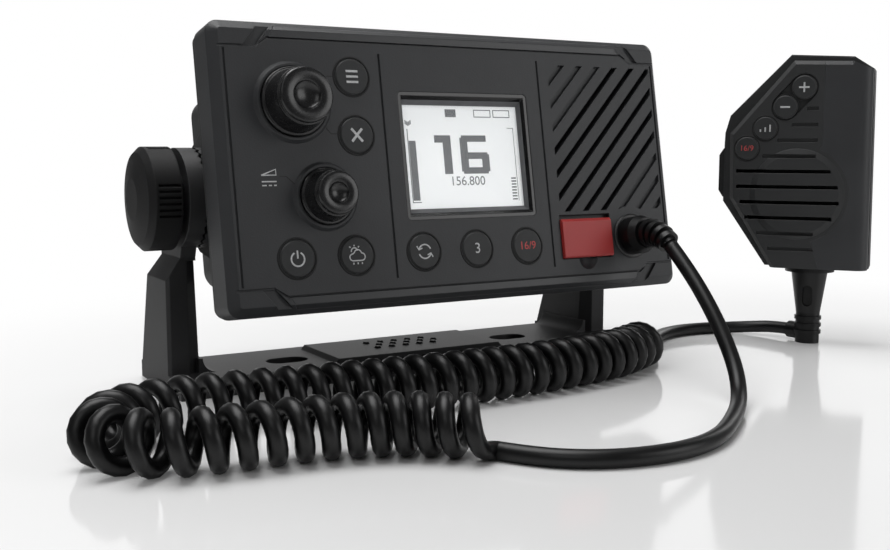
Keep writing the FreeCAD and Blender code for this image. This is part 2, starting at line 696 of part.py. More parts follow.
def make_bezel():
    """Moulded front: face plate with openings for every control, rim walls and a raised ring per knob."""
    half_w = FACE_WIDTH / 2
    half_h = FACE_HEIGHT / 2
    body = bezel_envelope()
    hollow = plate(rectangle(FACE_WIDTH - 2 * BEZEL_WALL, FACE_HEIGHT - 2 * BEZEL_WALL),
                   FACE_WALL, BEZEL_DEPTH + 1, RIM_CORNER)
    rims = [turned([(ring - 1.1, -1.3), (ring - 0.3, -1.3), (ring + 0.9, 0.3), (ring - 1.1, 0.3)], place)
            for ring, place in ((CHANNEL_RING, CHANNEL_PLACE), (VOLUME_RING, VOLUME_PLACE))]
    body = body.fuse(rims)
    cuts = [hollow]
    for points in (trim_outline(TRIM_FIT), flipped(trim_outline(TRIM_FIT))):
        cuts.append(plate(points, -1, TRIM_THICKNESS + 0.05))
    start = half_w - NOTCH_INSET
    foot = start + NOTCH_SLANT
    notch = [(start, half_h + 1), (start + NOTCH_TOP_WIDTH, half_h + 1),
             (foot + NOTCH_FOOT_WIDTH, half_h - NOTCH_DROP), (foot, half_h - NOTCH_DROP)]
    for points in (notch, flipped(notch)):
        band = plate(points, -1, NOTCH_DEPTH)
        cuts += [band, mirrored(band)]
    right_line = [(half_w - inset, half_h - drop) for inset, drop in EDGE_GROOVE_INSETS]
    line = [(-x, z) for x, z in right_line] + right_line[::-1]
    cuts += groove_path(line)
    cuts += groove_path(flipped(line))
    panel_grooves = (half_w - PANEL_GROOVE_INSET, PANEL_GROOVE_PLACE)
    end = half_h - PANEL_GROOVE_END
    for x in panel_grooves:
        cuts += groove_path([(x, -end), (x, end)])
        cuts += groove_path([(-x, -end), (-x, end)])
    cuts += grille_cutters()
    window = rectangle(WINDOW_WIDTH, WINDOW_HEIGHT, *WINDOW_PLACE)
    cuts.append(plate(window, -1, FACE_WALL + 1, WINDOW_CORNER))
    for place in KEY_PLACES.values():
        cuts.append(round_bar(KEY_RADIUS + KEY_CLEARANCE, place, -1, FACE_WALL + 1))
    for place in (CHANNEL_PLACE, VOLUME_PLACE):
        cuts.append(round_bar(SHAFT_RADIUS + 0.6, place, -2, FACE_WALL + 1))
    cuts.append(round_bar(SOCKET_NECK, PLUG_PLACE, -1, FACE_WALL + 1))
    middle = COVER_LEFT + COVER_WIDTH / 2
    floor = COVER_TOP - COVER_HEIGHT / 2
    left, right = COVER_LEFT - COVER_GAP, COVER_LEFT + COVER_WIDTH + COVER_GAP
    low, high = COVER_TOP - COVER_HEIGHT - COVER_GAP, COVER_TOP + COVER_TOP_GAP
    cuts.append(plate([(left, low), (right, low), (right, high), (left, high)], -1, POCKET_DEPTH))
    cuts.append(round_bar(DISTRESS_RADIUS + KEY_CLEARANCE, (middle, floor), -1, FACE_WALL + 1))
    scoop = Part.makeSphere(5.0, V(middle, -2.9, COVER_TOP - COVER_HEIGHT - 0.4))
    cuts.append(scoop)
    cuts.append(cover_pin(0))
    body = body.cut(cuts)
    screws = [round_bar(SCREW_RADIUS, place, SCREW_END, BEZEL_DEPTH + 1) for place in screw_places()]
    bosses = [round_bar(SCREW_BOSS, place, FACE_WALL - 0.5, BEZEL_DEPTH) for place in screw_places()]
    posts = [round_bar(BOARD_POST, place, FACE_WALL - 0.5, BOARD_FRONT)
             for place in ((-70.0, 33.0), (-70.0, -17.5), (31.0, 33.0), (31.0, -17.5))]
    return body.fuse(bosses + posts).cut(screws).removeSplitter()


# ---------------------------------------------------------------- head: display
def make_window_frame():
    """Dark frame in the window opening, bevelled down to the screen."""
    outer = plate(rectangle(WINDOW_WIDTH, WINDOW_HEIGHT, *WINDOW_PLACE), 0.2, FACE_WALL, WINDOW_CORNER)
    mouth = rectangle(WINDOW_WIDTH - 2.4, WINDOW_HEIGHT - 2.4, *WINDOW_PLACE)
    throat = rectangle(SCREEN_WIDTH, SCREEN_HEIGHT, *WINDOW_PLACE)
    return outer.cut([tapered(mouth, 0.1, throat, FACE_WALL + 0.1)])


def make_lens():
    """Clear window glued behind the face plate."""
    return plate(rectangle(WINDOW_WIDTH + 4, WINDOW_HEIGHT + 4, *WINDOW_PLACE), FACE_WALL,
                 FACE_WALL + LENS_THICKNESS)


def make_display_panel():
    """Liquid-crystal display with its backlight, against the lens."""
    front = FACE_WALL + LENS_THICKNESS
    edges = rectangle(WINDOW_WIDTH + 2, WINDOW_HEIGHT + 2, *WINDOW_PLACE)
    return plate(edges, front, front + PANEL_THICKNESS)


# ---------------------------------------------------------------- head: keys, key mat and boards
def make_key(place):
    """Round face key: bevelled top, stem through the face plate and a square flange that keeps it in."""
    r = KEY_RADIUS
    top = turned([(0, -KEY_PROUD), (r - 0.6, -KEY_PROUD), (r, -KEY_PROUD + 0.6), (r, KEY_BACK),
                  (0, KEY_BACK)], place)
    flange = 2 * (r + KEY_FLANGE_REACH)
    return top.fuse(plate(rectangle(flange, flange, *place), FACE_WALL + 0.1, KEY_BACK)).removeSplitter()


def make_key_mat():
    """Rubber mat behind the keys, with a plunger under each one."""
    pieces = []
    for left, right, low, high in (MAT_ROW, MAT_COLUMN):
        pieces.append(block(left, right, MAT_FRONT, MAT_FRONT + MAT_THICKNESS, low, high))
    for place in KEY_PLACES.values():
        pieces.append(round_bar(MAT_PLUNGER, place, MAT_FRONT + 1.0, BOARD_FRONT - SWITCH_HEIGHT))
    around = round_bar(SHAFT_RADIUS + 1.5, VOLUME_PLACE, MAT_FRONT - 1, MAT_FRONT + 3)
    return pieces[0].fuse(pieces[1:]).cut(around).removeSplitter()


def make_front_board():
    """Circuit board behind the face with a tact switch under every key."""
    left = TUB_WIDTH / 2 - CASE_WALL - FRONT_BOARD_GAP[0]
    half = TUB_HEIGHT / 2 - CASE_WALL - FRONT_BOARD_GAP[1]
    board = block(-left, FRONT_BOARD_RIGHT, BOARD_FRONT, BOARD_FRONT + BOARD_THICKNESS, -half, half)
    switches = [plate(rectangle(SWITCH_SIZE, SWITCH_SIZE, *place), BOARD_FRONT - SWITCH_HEIGHT, BOARD_FRONT)
                for place in KEY_PLACES.values()]
    return board.fuse(switches).removeSplitter()


def make_main_board():
    """Transceiver board across the case, with a shield can and the power transistor."""
    margin = 2 * MAIN_BOARD_MARGIN
    board = plate(rectangle(CASE_WIDTH - margin, CASE_HEIGHT - margin, 0, CASE_RISE), MAIN_BOARD_FRONT,
                  MAIN_BOARD_FRONT + BOARD_THICKNESS)
    can = plate(rectangle(*SHIELD_BOX), MAIN_BOARD_FRONT - SHIELD_HEIGHT, MAIN_BOARD_FRONT)
    part = plate(rectangle(*TRANSISTOR_BOX), MAIN_BOARD_FRONT - TRANSISTOR_HEIGHT, MAIN_BOARD_FRONT)
    return board.fuse([can, part]).removeSplitter()


# ---------------------------------------------------------------- head: rotary controls
def make_control_knob(place, base, top, height, dimple):
    """Push-and-turn knob: waisted black side, bevelled rims and a concave top, bored for its shaft."""
    back = -1.0
    front = back - height
    profile = [(0, back), (base, back), (base, back - 1.8), (top + 0.9, front + 2.2), (top, front),
               (dimple + 0.8, front), (dimple * 0.6, front + 1.6), (0, front + 1.6)]
    body = turned(profile, place)
    return body.cut(round_bar(SHAFT_RADIUS, place, back + 1, front + height * 0.42))


def make_shaft(place, height):
    """Steel control shaft from inside the knob to the encoder."""
    return round_bar(SHAFT_RADIUS, place, -1.0 - height * 0.58, BOARD_FRONT - 2.2)


def make_plunger(place):
    """Switch plunger behind the shaft: it is pushed with the knob but doesn't turn."""
    return round_bar(SHAFT_RADIUS - 0.2, place, BOARD_FRONT - 2.2, BOARD_FRONT - PUSH_TRAVEL - 0.15)


def make_encoder_cans():
    """The two encoder housings that carry the knob shafts."""
    cans = []
    for place in (CHANNEL_PLACE, VOLUME_PLACE):
        can = plate(rectangle(ENCODER_SIZE, ENCODER_SIZE, *place), ENCODER_FRONT, BOARD_FRONT)
        cans.append(can.cut(round_bar(SHAFT_HOLE, place, ENCODER_FRONT - 1, BOARD_FRONT + 1)))
    return Part.makeCompound(cans)


# ---------------------------------------------------------------- head: distress cover and key
def cover_pin(clearance):
    """Hinge pin of the distress cover, let into the bezel at both ends."""
    start = V(COVER_LEFT - COVER_GAP - COVER_PIN_REACH, COVER_PIN_DEPTH, PIN_UP)
    end = V(COVER_LEFT + COVER_WIDTH + COVER_GAP + COVER_PIN_REACH, COVER_PIN_DEPTH, PIN_UP)
    return rod(COVER_PIN_RADIUS + clearance, start, end)


def make_cover():
    """Spring-loaded flap over the distress key: bevelled top, hollow back and a hinge barrel."""
    right = COVER_LEFT + COVER_WIDTH
    bottom = COVER_TOP - COVER_HEIGHT
    front = -COVER_THICKNESS
    profile = [(front, bottom + 0.5), (front + 0.5, bottom), (0.9, bottom), (0.9, COVER_TOP - 0.2),
               (0.7, COVER_TOP), (front + 0.9, COVER_TOP), (front, COVER_TOP - 0.9)]
    side = side_plate(profile, COVER_LEFT, right)
    inside = plate([(COVER_LEFT + 1.1, bottom + 1.1), (right - 1.1, bottom + 1.1),
                    (right - 1.1, PIN_UP - 1.5), (COVER_LEFT + 1.1, PIN_UP - 1.5)], front + 1.0, 2)
    barrel = rod(COVER_BARREL, V(COVER_LEFT, COVER_PIN_DEPTH, PIN_UP), V(right, COVER_PIN_DEPTH, PIN_UP))
    return side.cut([inside]).fuse(barrel).cut([cover_pin(SHAFT_CLEARANCE)]).removeSplitter()


def make_distress_key():
    """Red key under the flap."""
    middle = COVER_LEFT + COVER_WIDTH / 2
    level = COVER_TOP - COVER_HEIGHT / 2
    r = DISTRESS_RADIUS
    return turned([(0, 0.6), (r - 0.4, 0.6), (r, 1.0), (r, FACE_WALL + 0.1), (r + 1, FACE_WALL + 0.1),
                   (r + 1, KEY_BACK), (0, KEY_BACK)], (middle, level))


# ---------------------------------------------------------------- head: loudspeaker
def make_gauze():
    """Acoustic cloth glued behind the open slots."""
    return plate([(GRILLE_LEFT - 1, GRILLE_BOTTOM + 0.2), (GRILLE_RIGHT + 1, GRILLE_BOTTOM + 0.2),
                  (GRILLE_RIGHT + 1, GRILLE_TOP + 0.2), (GRILLE_LEFT - 1, GRILLE_TOP + 0.2)],
                 FACE_WALL, FACE_WALL + CLOTH_THICKNESS)


def make_speaker_frame():
    """Pressed basket with its magnet."""
    front = FACE_WALL + CLOTH_THICKNESS
    r = SPEAKER_RADIUS
    return turned([(r - 2.6, front), (r, front), (r, front + 2.0), (13.0, front + 9.4),
                   (13.0, front + SPEAKER_DEPTH), (0, front + SPEAKER_DEPTH), (0, front + 10.4),
                   (11.5, front + 10.4), (11.5, front + 8.0), (r - 3.4, front + 1.9)], SPEAKER_PLACE)


def make_speaker_cone():
    """Paper cone and dust cap inside the basket."""
    front = FACE_WALL + CLOTH_THICKNESS
    r = SPEAKER_RADIUS - 3.4
    return turned([(r, front + 0.9), (6.5, front + 6.5), (0, front + 6.5), (0, front + 7.5),
                   (6.5, front + 7.5), (r, front + 1.9)], SPEAKER_PLACE)


# ---------------------------------------------------------------- head: seal, rear case and its fittings
def make_seal():
    """Rubber seal between the bezel's rim and the case flange."""
    outer = plate(rectangle(FACE_WIDTH - 2 * FLANGE_INSET, FACE_HEIGHT - 2 * FLANGE_INSET),
                  BEZEL_DEPTH, FLANGE_FRONT, FACE_CORNER - FLANGE_INSET)
    inner = plate(rectangle(FACE_WIDTH - 2 * BEZEL_WALL, FACE_HEIGHT - 2 * BEZEL_WALL),
                  BEZEL_DEPTH - 1, FLANGE_FRONT + 1, RIM_CORNER)
    return outer.cut([inner])


def screw_places():
    """Corner places of the four case screws."""
    x = FACE_WIDTH / 2 - SCREW_INSET
    z = FACE_HEIGHT / 2 - SCREW_INSET
    return [(-x, -z), (x, -z), (x, z), (-x, z)]


def case_cheek():
    """Right-hand pivot boss of the case: a gusset running back from the tub and a round disc."""
    y0, z0 = PIVOT_DEPTH, -PIVOT_DROP
    gusset = side_plate([(TUB_BACK - 3, z0 + 28.2), (y0 + 6, z0 + 18), (y0 + 14.5, z0 + 11), (y0 + 18.5, z0),
                         (y0 + 14.5, z0 - 11), (y0 + 6, z0 - 18), (TUB_BACK - 3, z0 - 28.2)],
                        CASE_WIDTH / 2 - 2, CHEEK_FACE - CHEEK_RIM, 2.0)
    disc = Part.makeCylinder(RING_OUTER, CHEEK_FACE - CASE_WIDTH / 2 + 2,
                             V(CASE_WIDTH / 2 - 2, y0, z0), V(1, 0, 0))
    ring = toothed_ring(y0, z0, CHEEK_FACE, HEAD_RING_CREST, 180.0 / TOOTH_COUNT)
    return gusset.fuse([disc, ring])


def insert_seat(clearance):
    """Blind round seat of a thread insert in the right-hand cheek."""
    return Part.makeCylinder(INSERT_RADIUS + clearance, INSERT_LENGTH,
                             V(CHEEK_FACE - INSERT_LENGTH, PIVOT_DEPTH, -PIVOT_DROP), V(1, 0, 0))


def make_case():
    """Moulded rear case: flange, shallow tub, hollow body, cooling fins, pivot cheeks and toothed rings."""
    flange = plate(rectangle(FACE_WIDTH - 2 * FLANGE_INSET, FACE_HEIGHT - 2 * FLANGE_INSET),
                   FLANGE_FRONT, FLANGE_BACK, FACE_CORNER - FLANGE_INSET)
    tub = plate(rectangle(TUB_WIDTH, TUB_HEIGHT), FLANGE_FRONT, TUB_BACK, TUB_CORNER)
    tub = tub.makeChamfer(TUB_BEVEL, [e for e in tub.Edges if e.BoundBox.YMin > TUB_BACK - 1e-6])
    body = plate(rectangle(CASE_WIDTH, CASE_HEIGHT, 0, CASE_RISE), FLANGE_FRONT, CASE_BACK, CASE_CORNER)
    body = body.makeChamfer(CASE_BEVEL, [e for e in body.Edges if e.BoundBox.YMin > CASE_BACK - 1e-6])
    cheek = case_cheek()
    extras = [tub, body, cheek, mirrored(cheek)]
    foot, crest = CASE_RISE - FIN_HEIGHT / 2, CASE_RISE + FIN_HEIGHT / 2
    tip = CASE_BACK + FIN_DEPTH
    nose, slope = FIN_NOSE
    fin_profile = [(CASE_BACK - 1, foot), (tip - nose, foot), (tip, foot + slope), (tip, crest - slope),
                   (tip - nose, crest), (CASE_BACK - 1, crest)]
    for i in range(FIN_COUNT):
        x = FIN_START + i * FIN_PITCH
        extras.append(side_plate(fin_profile, x - FIN_THICKNESS / 2, x + FIN_THICKNESS / 2))
    top = CASE_RISE + CASE_HEIGHT / 2
    rib_profile = [(TUB_BACK - 2, top - 1), (CASE_BACK - 5, top - 1), (CASE_BACK - 7, top + TOP_RIB_HEIGHT),
                   (TUB_BACK - 2, top + TOP_RIB_HEIGHT)]
    for i in range(TOP_RIB_COUNT):
        x = (i - (TOP_RIB_COUNT - 1) / 2) * TOP_RIB_PITCH
        extras.append(side_plate(rib_profile, x - TOP_RIB_THICKNESS / 2, x + TOP_RIB_THICKNESS / 2))
    case = flange.fuse(extras)
    w = CASE_WALL
    cuts = [plate(rectangle(TUB_WIDTH - 2 * w, TUB_HEIGHT - 2 * w), FLANGE_FRONT - 1, TUB_BACK - w,
                  TUB_CORNER - w),
            plate(rectangle(CASE_WIDTH - 2 * w, CASE_HEIGHT - 2 * w, 0, CASE_RISE), FLANGE_FRONT,
                  CASE_BACK - w, CASE_CORNER - w)]
    for place in screw_places():
        cuts.append(round_bar(SCREW_RADIUS, place, FLANGE_FRONT - 1, FLANGE_BACK + 1))
        cuts.append(round_bar(SCREW_HEAD + SCREW_HEAD_CLEARANCE, place, FLANGE_BACK, CASE_BACK))
    cuts.append(round_bar(ANTENNA_BARREL, ANTENNA_PLACE, CASE_BACK - 9, CASE_BACK + 1))
    cuts.append(round_bar(NETWORK_THREAD_RADIUS, NETWORK_PLACE, CASE_BACK - 9, CASE_BACK + 1))
    cuts.append(round_bar(GLAND_RADIUS, GLAND_PLACE, CASE_BACK - 9, CASE_BACK + 1))
    cuts += [insert_seat(0), mirrored(insert_seat(0))]
    case = case.cut(cuts)
    posts = []
    for sx in (-1, 1):
        for sz in (-1, 1):
            place = (sx * (CASE_WIDTH / 2 - POST_INSET[0]), CASE_RISE + sz * (CASE_HEIGHT / 2 - POST_INSET[1]))
            posts.append(round_bar(POST_RADIUS, place, MAIN_BOARD_FRONT + BOARD_THICKNESS, CASE_BACK - w + 0.5))
    return case.fuse(posts).removeSplitter()


def make_inserts():
    """Brass thread inserts moulded into the two cheeks."""
    bore = Part.makeCylinder(STUD_RADIUS + STUD_CLEARANCE, INSERT_LENGTH + 2,
                             V(CHEEK_FACE - INSERT_LENGTH - 1, PIVOT_DEPTH, -PIVOT_DROP), V(1, 0, 0))
    insert = insert_seat(0).cut(bore)
    return Part.makeCompound([insert, mirrored(insert)])


def make_screws():
    """Pan-head screws from behind the flange into the bezel's corner bosses."""
    screws = []
    for place in screw_places():
        screws.append(turned([(0, SCREW_END), (SCREW_RADIUS, SCREW_END), (SCREW_RADIUS, FLANGE_BACK),
                              (SCREW_HEAD, FLANGE_BACK), (SCREW_HEAD, FLANGE_BACK + SCREW_HEAD_HEIGHT),
                              (0, FLANGE_BACK + SCREW_HEAD_HEIGHT)], place))
    return Part.makeCompound(screws)


def around(place, radius, count, first=0.0):
    """Places spread evenly on a circle round a place, as (x, z)."""
    turns = [first + 2 * math.pi / count * i for i in range(count)]
    return [(place[0] + radius * math.cos(turn), place[1] + radius * math.sin(turn)) for turn in turns]


def hexagon(across_flats, place):
    """Corners of a hexagon round a place, as (x, z)."""
    return around(place, across_flats / 2 / math.cos(math.pi / 6), 6)


def make_antenna_socket():
    """UHF antenna socket: square flange, threaded barrel, insulator and centre contact."""
    r = ANTENNA_THREAD_RADIUS
    square = plate(rectangle(ANTENNA_FLANGE, ANTENNA_FLANGE, *ANTENNA_PLACE), CASE_BACK, CASE_BACK + 1.8, 2.0)
    front = CASE_BACK + 1.8 + ANTENNA_LENGTH
    inside = CASE_BACK - CASE_WALL
    barrel = turned([(0, inside - 5), (2.0, inside - 5), (2.0, inside - 1), (ANTENNA_BARREL, inside - 1),
                     (ANTENNA_BARREL, CASE_BACK + 0.5), (r, CASE_BACK + 0.5), (r, front), (r - 1.3, front),
                     (r - 1.3, front - 8.5), (2.0, front - 8.5), (2.0, front - 1.5), (0, front - 1.5)],
                    ANTENNA_PLACE)
    return square.fuse(barrel).removeSplitter()


def make_network_socket():
    """Round network socket: hexagon body, threaded barrel and five contact pins."""
    r = NETWORK_THREAD_RADIUS
    front = CASE_BACK + 3.0 + NETWORK_LENGTH
    nut = plate(hexagon(2 * r + 5, NETWORK_PLACE), CASE_BACK, CASE_BACK + 3.0)
    inside = CASE_BACK - CASE_WALL - 4
    barrel = turned([(0, inside), (r, inside), (r, front), (r - 1.2, front), (r - 1.2, front - 7.5),
                     (0, front - 7.5)], NETWORK_PLACE)
    pin_places = around(NETWORK_PLACE, NETWORK_PIN_CIRCLE, NETWORK_PIN_COUNT, math.pi / 4) + [NETWORK_PLACE]
    pins = [round_bar(NETWORK_PIN_RADIUS, place, front - 8.5, front - 2.5) for place in pin_places]
    return nut.fuse([barrel] + pins).removeSplitter()


def make_power_gland():
    """Cable gland for the power lead: hexagon body, domed nut and the cable's bore."""
    r = GLAND_RADIUS
    body = plate(hexagon(2 * r + 3, GLAND_PLACE), CASE_BACK, CASE_BACK + 3.5)
    sleeve = round_bar(r, GLAND_PLACE, CASE_BACK - CASE_WALL - 3, CASE_BACK + 1)
    dome = turned([(0, CASE_BACK + 3), (r + 0.8, CASE_BACK + 3), (r + 0.8, CASE_BACK + 8),
                   (r - 1.2, CASE_BACK + 11), (0, CASE_BACK + 11)], GLAND_PLACE)
    bore = round_bar(GLAND_BORE, GLAND_PLACE, CASE_BACK - 8, CASE_BACK + 14)
    return body.fuse([sleeve, dome]).cut(bore).removeSplitter()


# ---------------------------------------------------------------- microphone plug and its socket
def make_mic_socket():
    """Microphone socket: ring on the face, neck through the plate and a closed body behind."""
    r = SOCKET_RADIUS
    return turned([(PLUG_BARREL, -SOCKET_PROUD), (r - 0.5, -SOCKET_PROUD), (r, -SOCKET_PROUD + 0.5), (r, 0),
                   (SOCKET_NECK, 0), (SOCKET_NECK, FACE_WALL), (r, FACE_WALL), (r, FACE_WALL + 1.5),
                   (SOCKET_NECK, FACE_WALL + 1.5), (SOCKET_NECK, 12.5), (0, 12.5), (0, PLUG_REACH),
                   (PLUG_BARREL, PLUG_REACH)], PLUG_PLACE)


def bend_place(turn):
    """Centre and direction on the plug's bent strain relief, after a turn in radians."""
    x, z = PLUG_PLACE
    centre = V(x, -PLUG_GRIP - PLUG_BEND_RADIUS * math.sin(turn), z - PLUG_BEND_RADIUS * (1 - math.cos(turn)))
    return centre, V(0, -math.cos(turn), -math.sin(turn))


def make_plug():
    """Moulded plug: barrel in the socket, ribbed grip and a strain relief that bends towards the cord."""
    r = PLUG_RADIUS
    body = turned([(0, PLUG_REACH), (PLUG_BARREL, PLUG_REACH), (PLUG_BARREL, -SOCKET_PROUD),
                   (r - 0.4, -SOCKET_PROUD), (r, -SOCKET_PROUD - 0.5), (r, -PLUG_GRIP + 3),
                   (r - 1.2, -PLUG_GRIP), (0, -PLUG_GRIP)], PLUG_PLACE)
    rings = []
    total = math.radians(PLUG_BEND)
    step = total / (2 * PLUG_RIBS + 1)
    for i in range(2 * PLUG_RIBS + 1):
        start, _ = bend_place(i * step)
        end, _ = bend_place((i + 1) * step)
        share = i / (2.0 * PLUG_RIBS)
        radius = PLUG_RADIUS - 1.5 + (PLUG_TIP - PLUG_RADIUS + 1.5) * share
        if i % 2 == 0:
            radius -= 1.0
        centre, along = bend_place((i + 0.5) * step)
        reach = (end - start).Length / 2 + radius * math.tan(step / 2) + 0.02
        if i == 2 * PLUG_RIBS:
            ring_end, along = bend_place(total)
            ring = rod(radius, ring_end - along * (2 * reach), ring_end)
        else:
            ring = rod(radius, centre - along * reach, centre + along * reach)
        rings.append(ring)
    return body.fuse(rings).removeSplitter()


def plug_tip():
    """Where the cord leaves the plug, and the way it points, both as placed."""
    point, along = bend_place(math.radians(PLUG_BEND))
    spin = FreeCAD.Rotation(V(1, 0, 0), -HEAD_TILT)
    return spin.multVec(point) + HEAD_ORIGIN, spin.multVec(along)


# ---------------------------------------------------------------- curly cord and its two leads
# routes chosen by hand: the coil's axis seen from above, and the middle of each lead
COIL_ROUTE = [(77, -51), (60, -60.5), (38, -66), (13, -69), (-14, -69.5), (-40, -68), (-66, -65.5),
              (-90, -62.5), (-110, -62), (-124, -67), (-131.5, -78), (-130, -91), (-119, -99.5),
              (-103, -102.5), (-86, -104), (-71, -107.5), (-58, -113.5), (-47, -122.5)]
LEAD_A_ROUTE = [(-40.4, -127.9, 2.5), (-36.2, -135.4, 2.5), (-30.2, -142.6, 2.5), (-22, -148.4, 2.5),
                (-12, -152, 2.5), (0, -153.4, 2.5), (12, -151.6, 2.5), (22.8, -147, 2.5), (33, -140, 2.5),
                (42.8, -132.4, 2.5), (52, -124.8, 2.6), (58.6, -118.6, 5.2), (63, -112.6, 10.8),
                (65.2, -105.4, 19.2), (66.4, -96, 29.8)]
LEAD_B_ROUTE = [(85.3, -46.4, 2.5), (92.2, -38, 2.5), (100, -28, 2.5), (109.8, -18.4, 2.5),
                (121.5, -11.4, 2.5), (134, -8.2, 2.5), (146.4, -9.2, 2.5), (157, -13.6, 2.6),
                (165.2, -20.4, 3.3)]


def cord_parts():
    """The coil as one fat tube, and the two straight leads from its ends to the plug and the boot."""
    coil_points = [V(x, y, COIL_LEVEL) for x, y in COIL_ROUTE]
    tip, along = plug_tip()
    lead_a = [coil_points[-1] + V(0, 0, LEAD_LEVEL - COIL_LEVEL)]
    lead_a += [V(*p) for p in LEAD_A_ROUTE]
    lead_a += [tip + along * LEAD_END_RUN, tip]
    exit_point, exit_way = boot_exit()
    lead_b = [coil_points[0] + V(0, 0, LEAD_LEVEL - COIL_LEVEL)]
    lead_b += [V(*p) for p in LEAD_B_ROUTE]
    lead_b += [exit_point + exit_way * BOOT_END_RUN, exit_point]
    return {"cord_coil": cord_tube("cord_coil", coil_points, COIL_DIAMETER),
            "cord_lead_a": cord_tube("cord_lead_a", lead_a, CORD_DIAMETER),
            "cord_lead_b": cord_tube("cord_lead_b", lead_b, CORD_DIAMETER)}


# ---------------------------------------------------------------- microphone
def mic_front_outline():
    """Outline of the front shell and side panel together."""
    return [(-17.5, MIC_BOTTOM), (20.4, MIC_BOTTOM), (19.6, 114.0), (11.8, 117.2), (-10.5, 118.0),
            (-35.4, 88.5), (-34.8, 61.5)]


def mic_rear_outline():
    """Outline of the rear shell, wider on the left and taller at the top."""
    return [(-20.8, MIC_BOTTOM), (20.7, MIC_BOTTOM), (19.8, 114.4), (12.0, 119.6), (-12.6, 121.0),
            (-36.8, 96.2), (-38.8, 89.0), (-BAR_SEAT, 84.0), (-BAR_SEAT, 60.0)]


def mic_panel_outline():
    """Outline of the side panel before the round disc is taken out of it."""
    return [(1.6, 84.0), (1.6, 130.0), (40, 130.0), (40, 20.0), (6.0, 20.0), (-7.8, 63.7)]


def rounded_right(shape, y0):
    """Rounds the long right-hand edge of a front piece."""
    edges = [e for e in shape.Edges if abs(e.BoundBox.YMax - y0) < 1e-6 and e.BoundBox.XMin > 19.0
             and e.BoundBox.ZLength > 40]
    return shape.makeFillet(MIC_EDGE_RADIUS, edges)


def mic_panel_region():
    """Volume that belongs to the side panel: right of the seam and outside the disc's rim."""
    region = plate(mic_panel_outline(), HANDSET_FRONT - 2, HANDSET_SPLIT + 2)
    return region.cut(round_bar(DISC_RADIUS + 1.6, DISC_PLACE, HANDSET_FRONT - 3, HANDSET_SPLIT + 3))


def mic_front_block():
    """Front half of the microphone with its bevelled edges, before it is divided."""
    block_shape = plate(mic_front_outline(), HANDSET_FRONT, HANDSET_SPLIT)
    block_shape = rounded_right(block_shape, HANDSET_FRONT)
    front = [e for e in block_shape.Edges if e.BoundBox.YMax < HANDSET_FRONT + 1e-6 and e.BoundBox.XMax < 13]
    return block_shape.makeChamfer(1.6, front)


def mic_front_hollow():
    """Room inside the front half, which both of its pieces leave free."""
    inner = inset_outline(mic_front_outline(), HANDSET_WALL)
    return plate(inner, HANDSET_FRONT + HANDSET_WALL, HANDSET_SPLIT + 1)


def make_mic_side_panel():
    """Smooth panel along the microphone's right-hand side."""
    return mic_front_block().cut(mic_front_hollow()).common(mic_panel_region())


def inset_outline(points, distance):
    """The same outline moved inwards, side by side (points run anticlockwise)."""
    moved = []
    count = len(points)
    for i in range(count):
        ax, az = points[i - 1]
        bx, bz = points[i]
        cx, cz = points[(i + 1) % count]
        ux, uz = bx - ax, bz - az
        vx, vz = cx - bx, cz - bz
        lu, lv = math.hypot(ux, uz), math.hypot(vx, vz)
        nx, nz = -uz / lu - vz / lv, ux / lu + vx / lv
        scale = distance * 2 / (nx * nx + nz * nz)
        moved.append((bx + nx * scale, bz + nz * scale))
    return moved


def mic_slots():
    """Level slots of the microphone's grille, shorter towards the keys and outside the disc."""
    low, high = MIC_SLOTS_OPEN
    half = MIC_SLOT_HEIGHT / 2
    cutters = []
    for x0, x1, z in MIC_SLOTS:
        depth = HANDSET_WALL + 1 if low < z < high else MIC_BLIND_DEPTH
        cutters.append(block(x0, x1, HANDSET_FRONT - 2, HANDSET_FRONT + depth, z - half, z + half))
    return cutters


def make_mic_front_shell():
    """Front shell with the key channel, the raised disc and its slots."""
    shell = mic_front_block().cut([mic_front_hollow(), mic_panel_region()])
    disc = turned([(0, HANDSET_FRONT - 0.9), (DISC_RADIUS - 2.2, HANDSET_FRONT - 0.9),
                   (DISC_RADIUS, HANDSET_FRONT - 0.2), (DISC_RADIUS, HANDSET_FRONT + 0.5),
                   (0, HANDSET_FRONT + 0.5)], DISC_PLACE)
    shell = shell.fuse(disc)
    cuts = mic_slots()
    places = list(HANDSET_KEY_PLACES.values())
    for place in places:
        cuts.append(round_bar(HANDSET_KEY_RADIUS + KEY_CLEARANCE, place, HANDSET_FRONT - 2,
                              HANDSET_FRONT + HANDSET_WALL + 1))
        cuts.append(round_bar(HANDSET_KEY_RADIUS + HANDSET_KEY_FLANGE + KEY_CLEARANCE, place,
                              HANDSET_FRONT + HANDSET_WALL, HANDSET_SPLIT + 1))
    (ax, az), (bx, bz) = places[0], places[1]
    length = math.hypot(ax - bx, az - bz)
    slot = stadium(length + 2 * (HANDSET_KEY_RADIUS + 0.7), 2 * (HANDSET_KEY_RADIUS + 0.7), 0, 0, -2, 0.45)
    slot.rotate(V(0, 0, 0), V(1, 0, 0), 90)
    slot.rotate(V(0, 0, 0), V(0, 1, 0), 180)
    slot.rotate(V(0, 0, 0), V(0, 1, 0), -math.degrees(math.atan2(az - bz, ax - bx)))
    slot.translate(V((ax + bx) / 2, HANDSET_FRONT, (az + bz) / 2))
    cuts.append(slot)
    return shell.cut(cuts).removeSplitter()


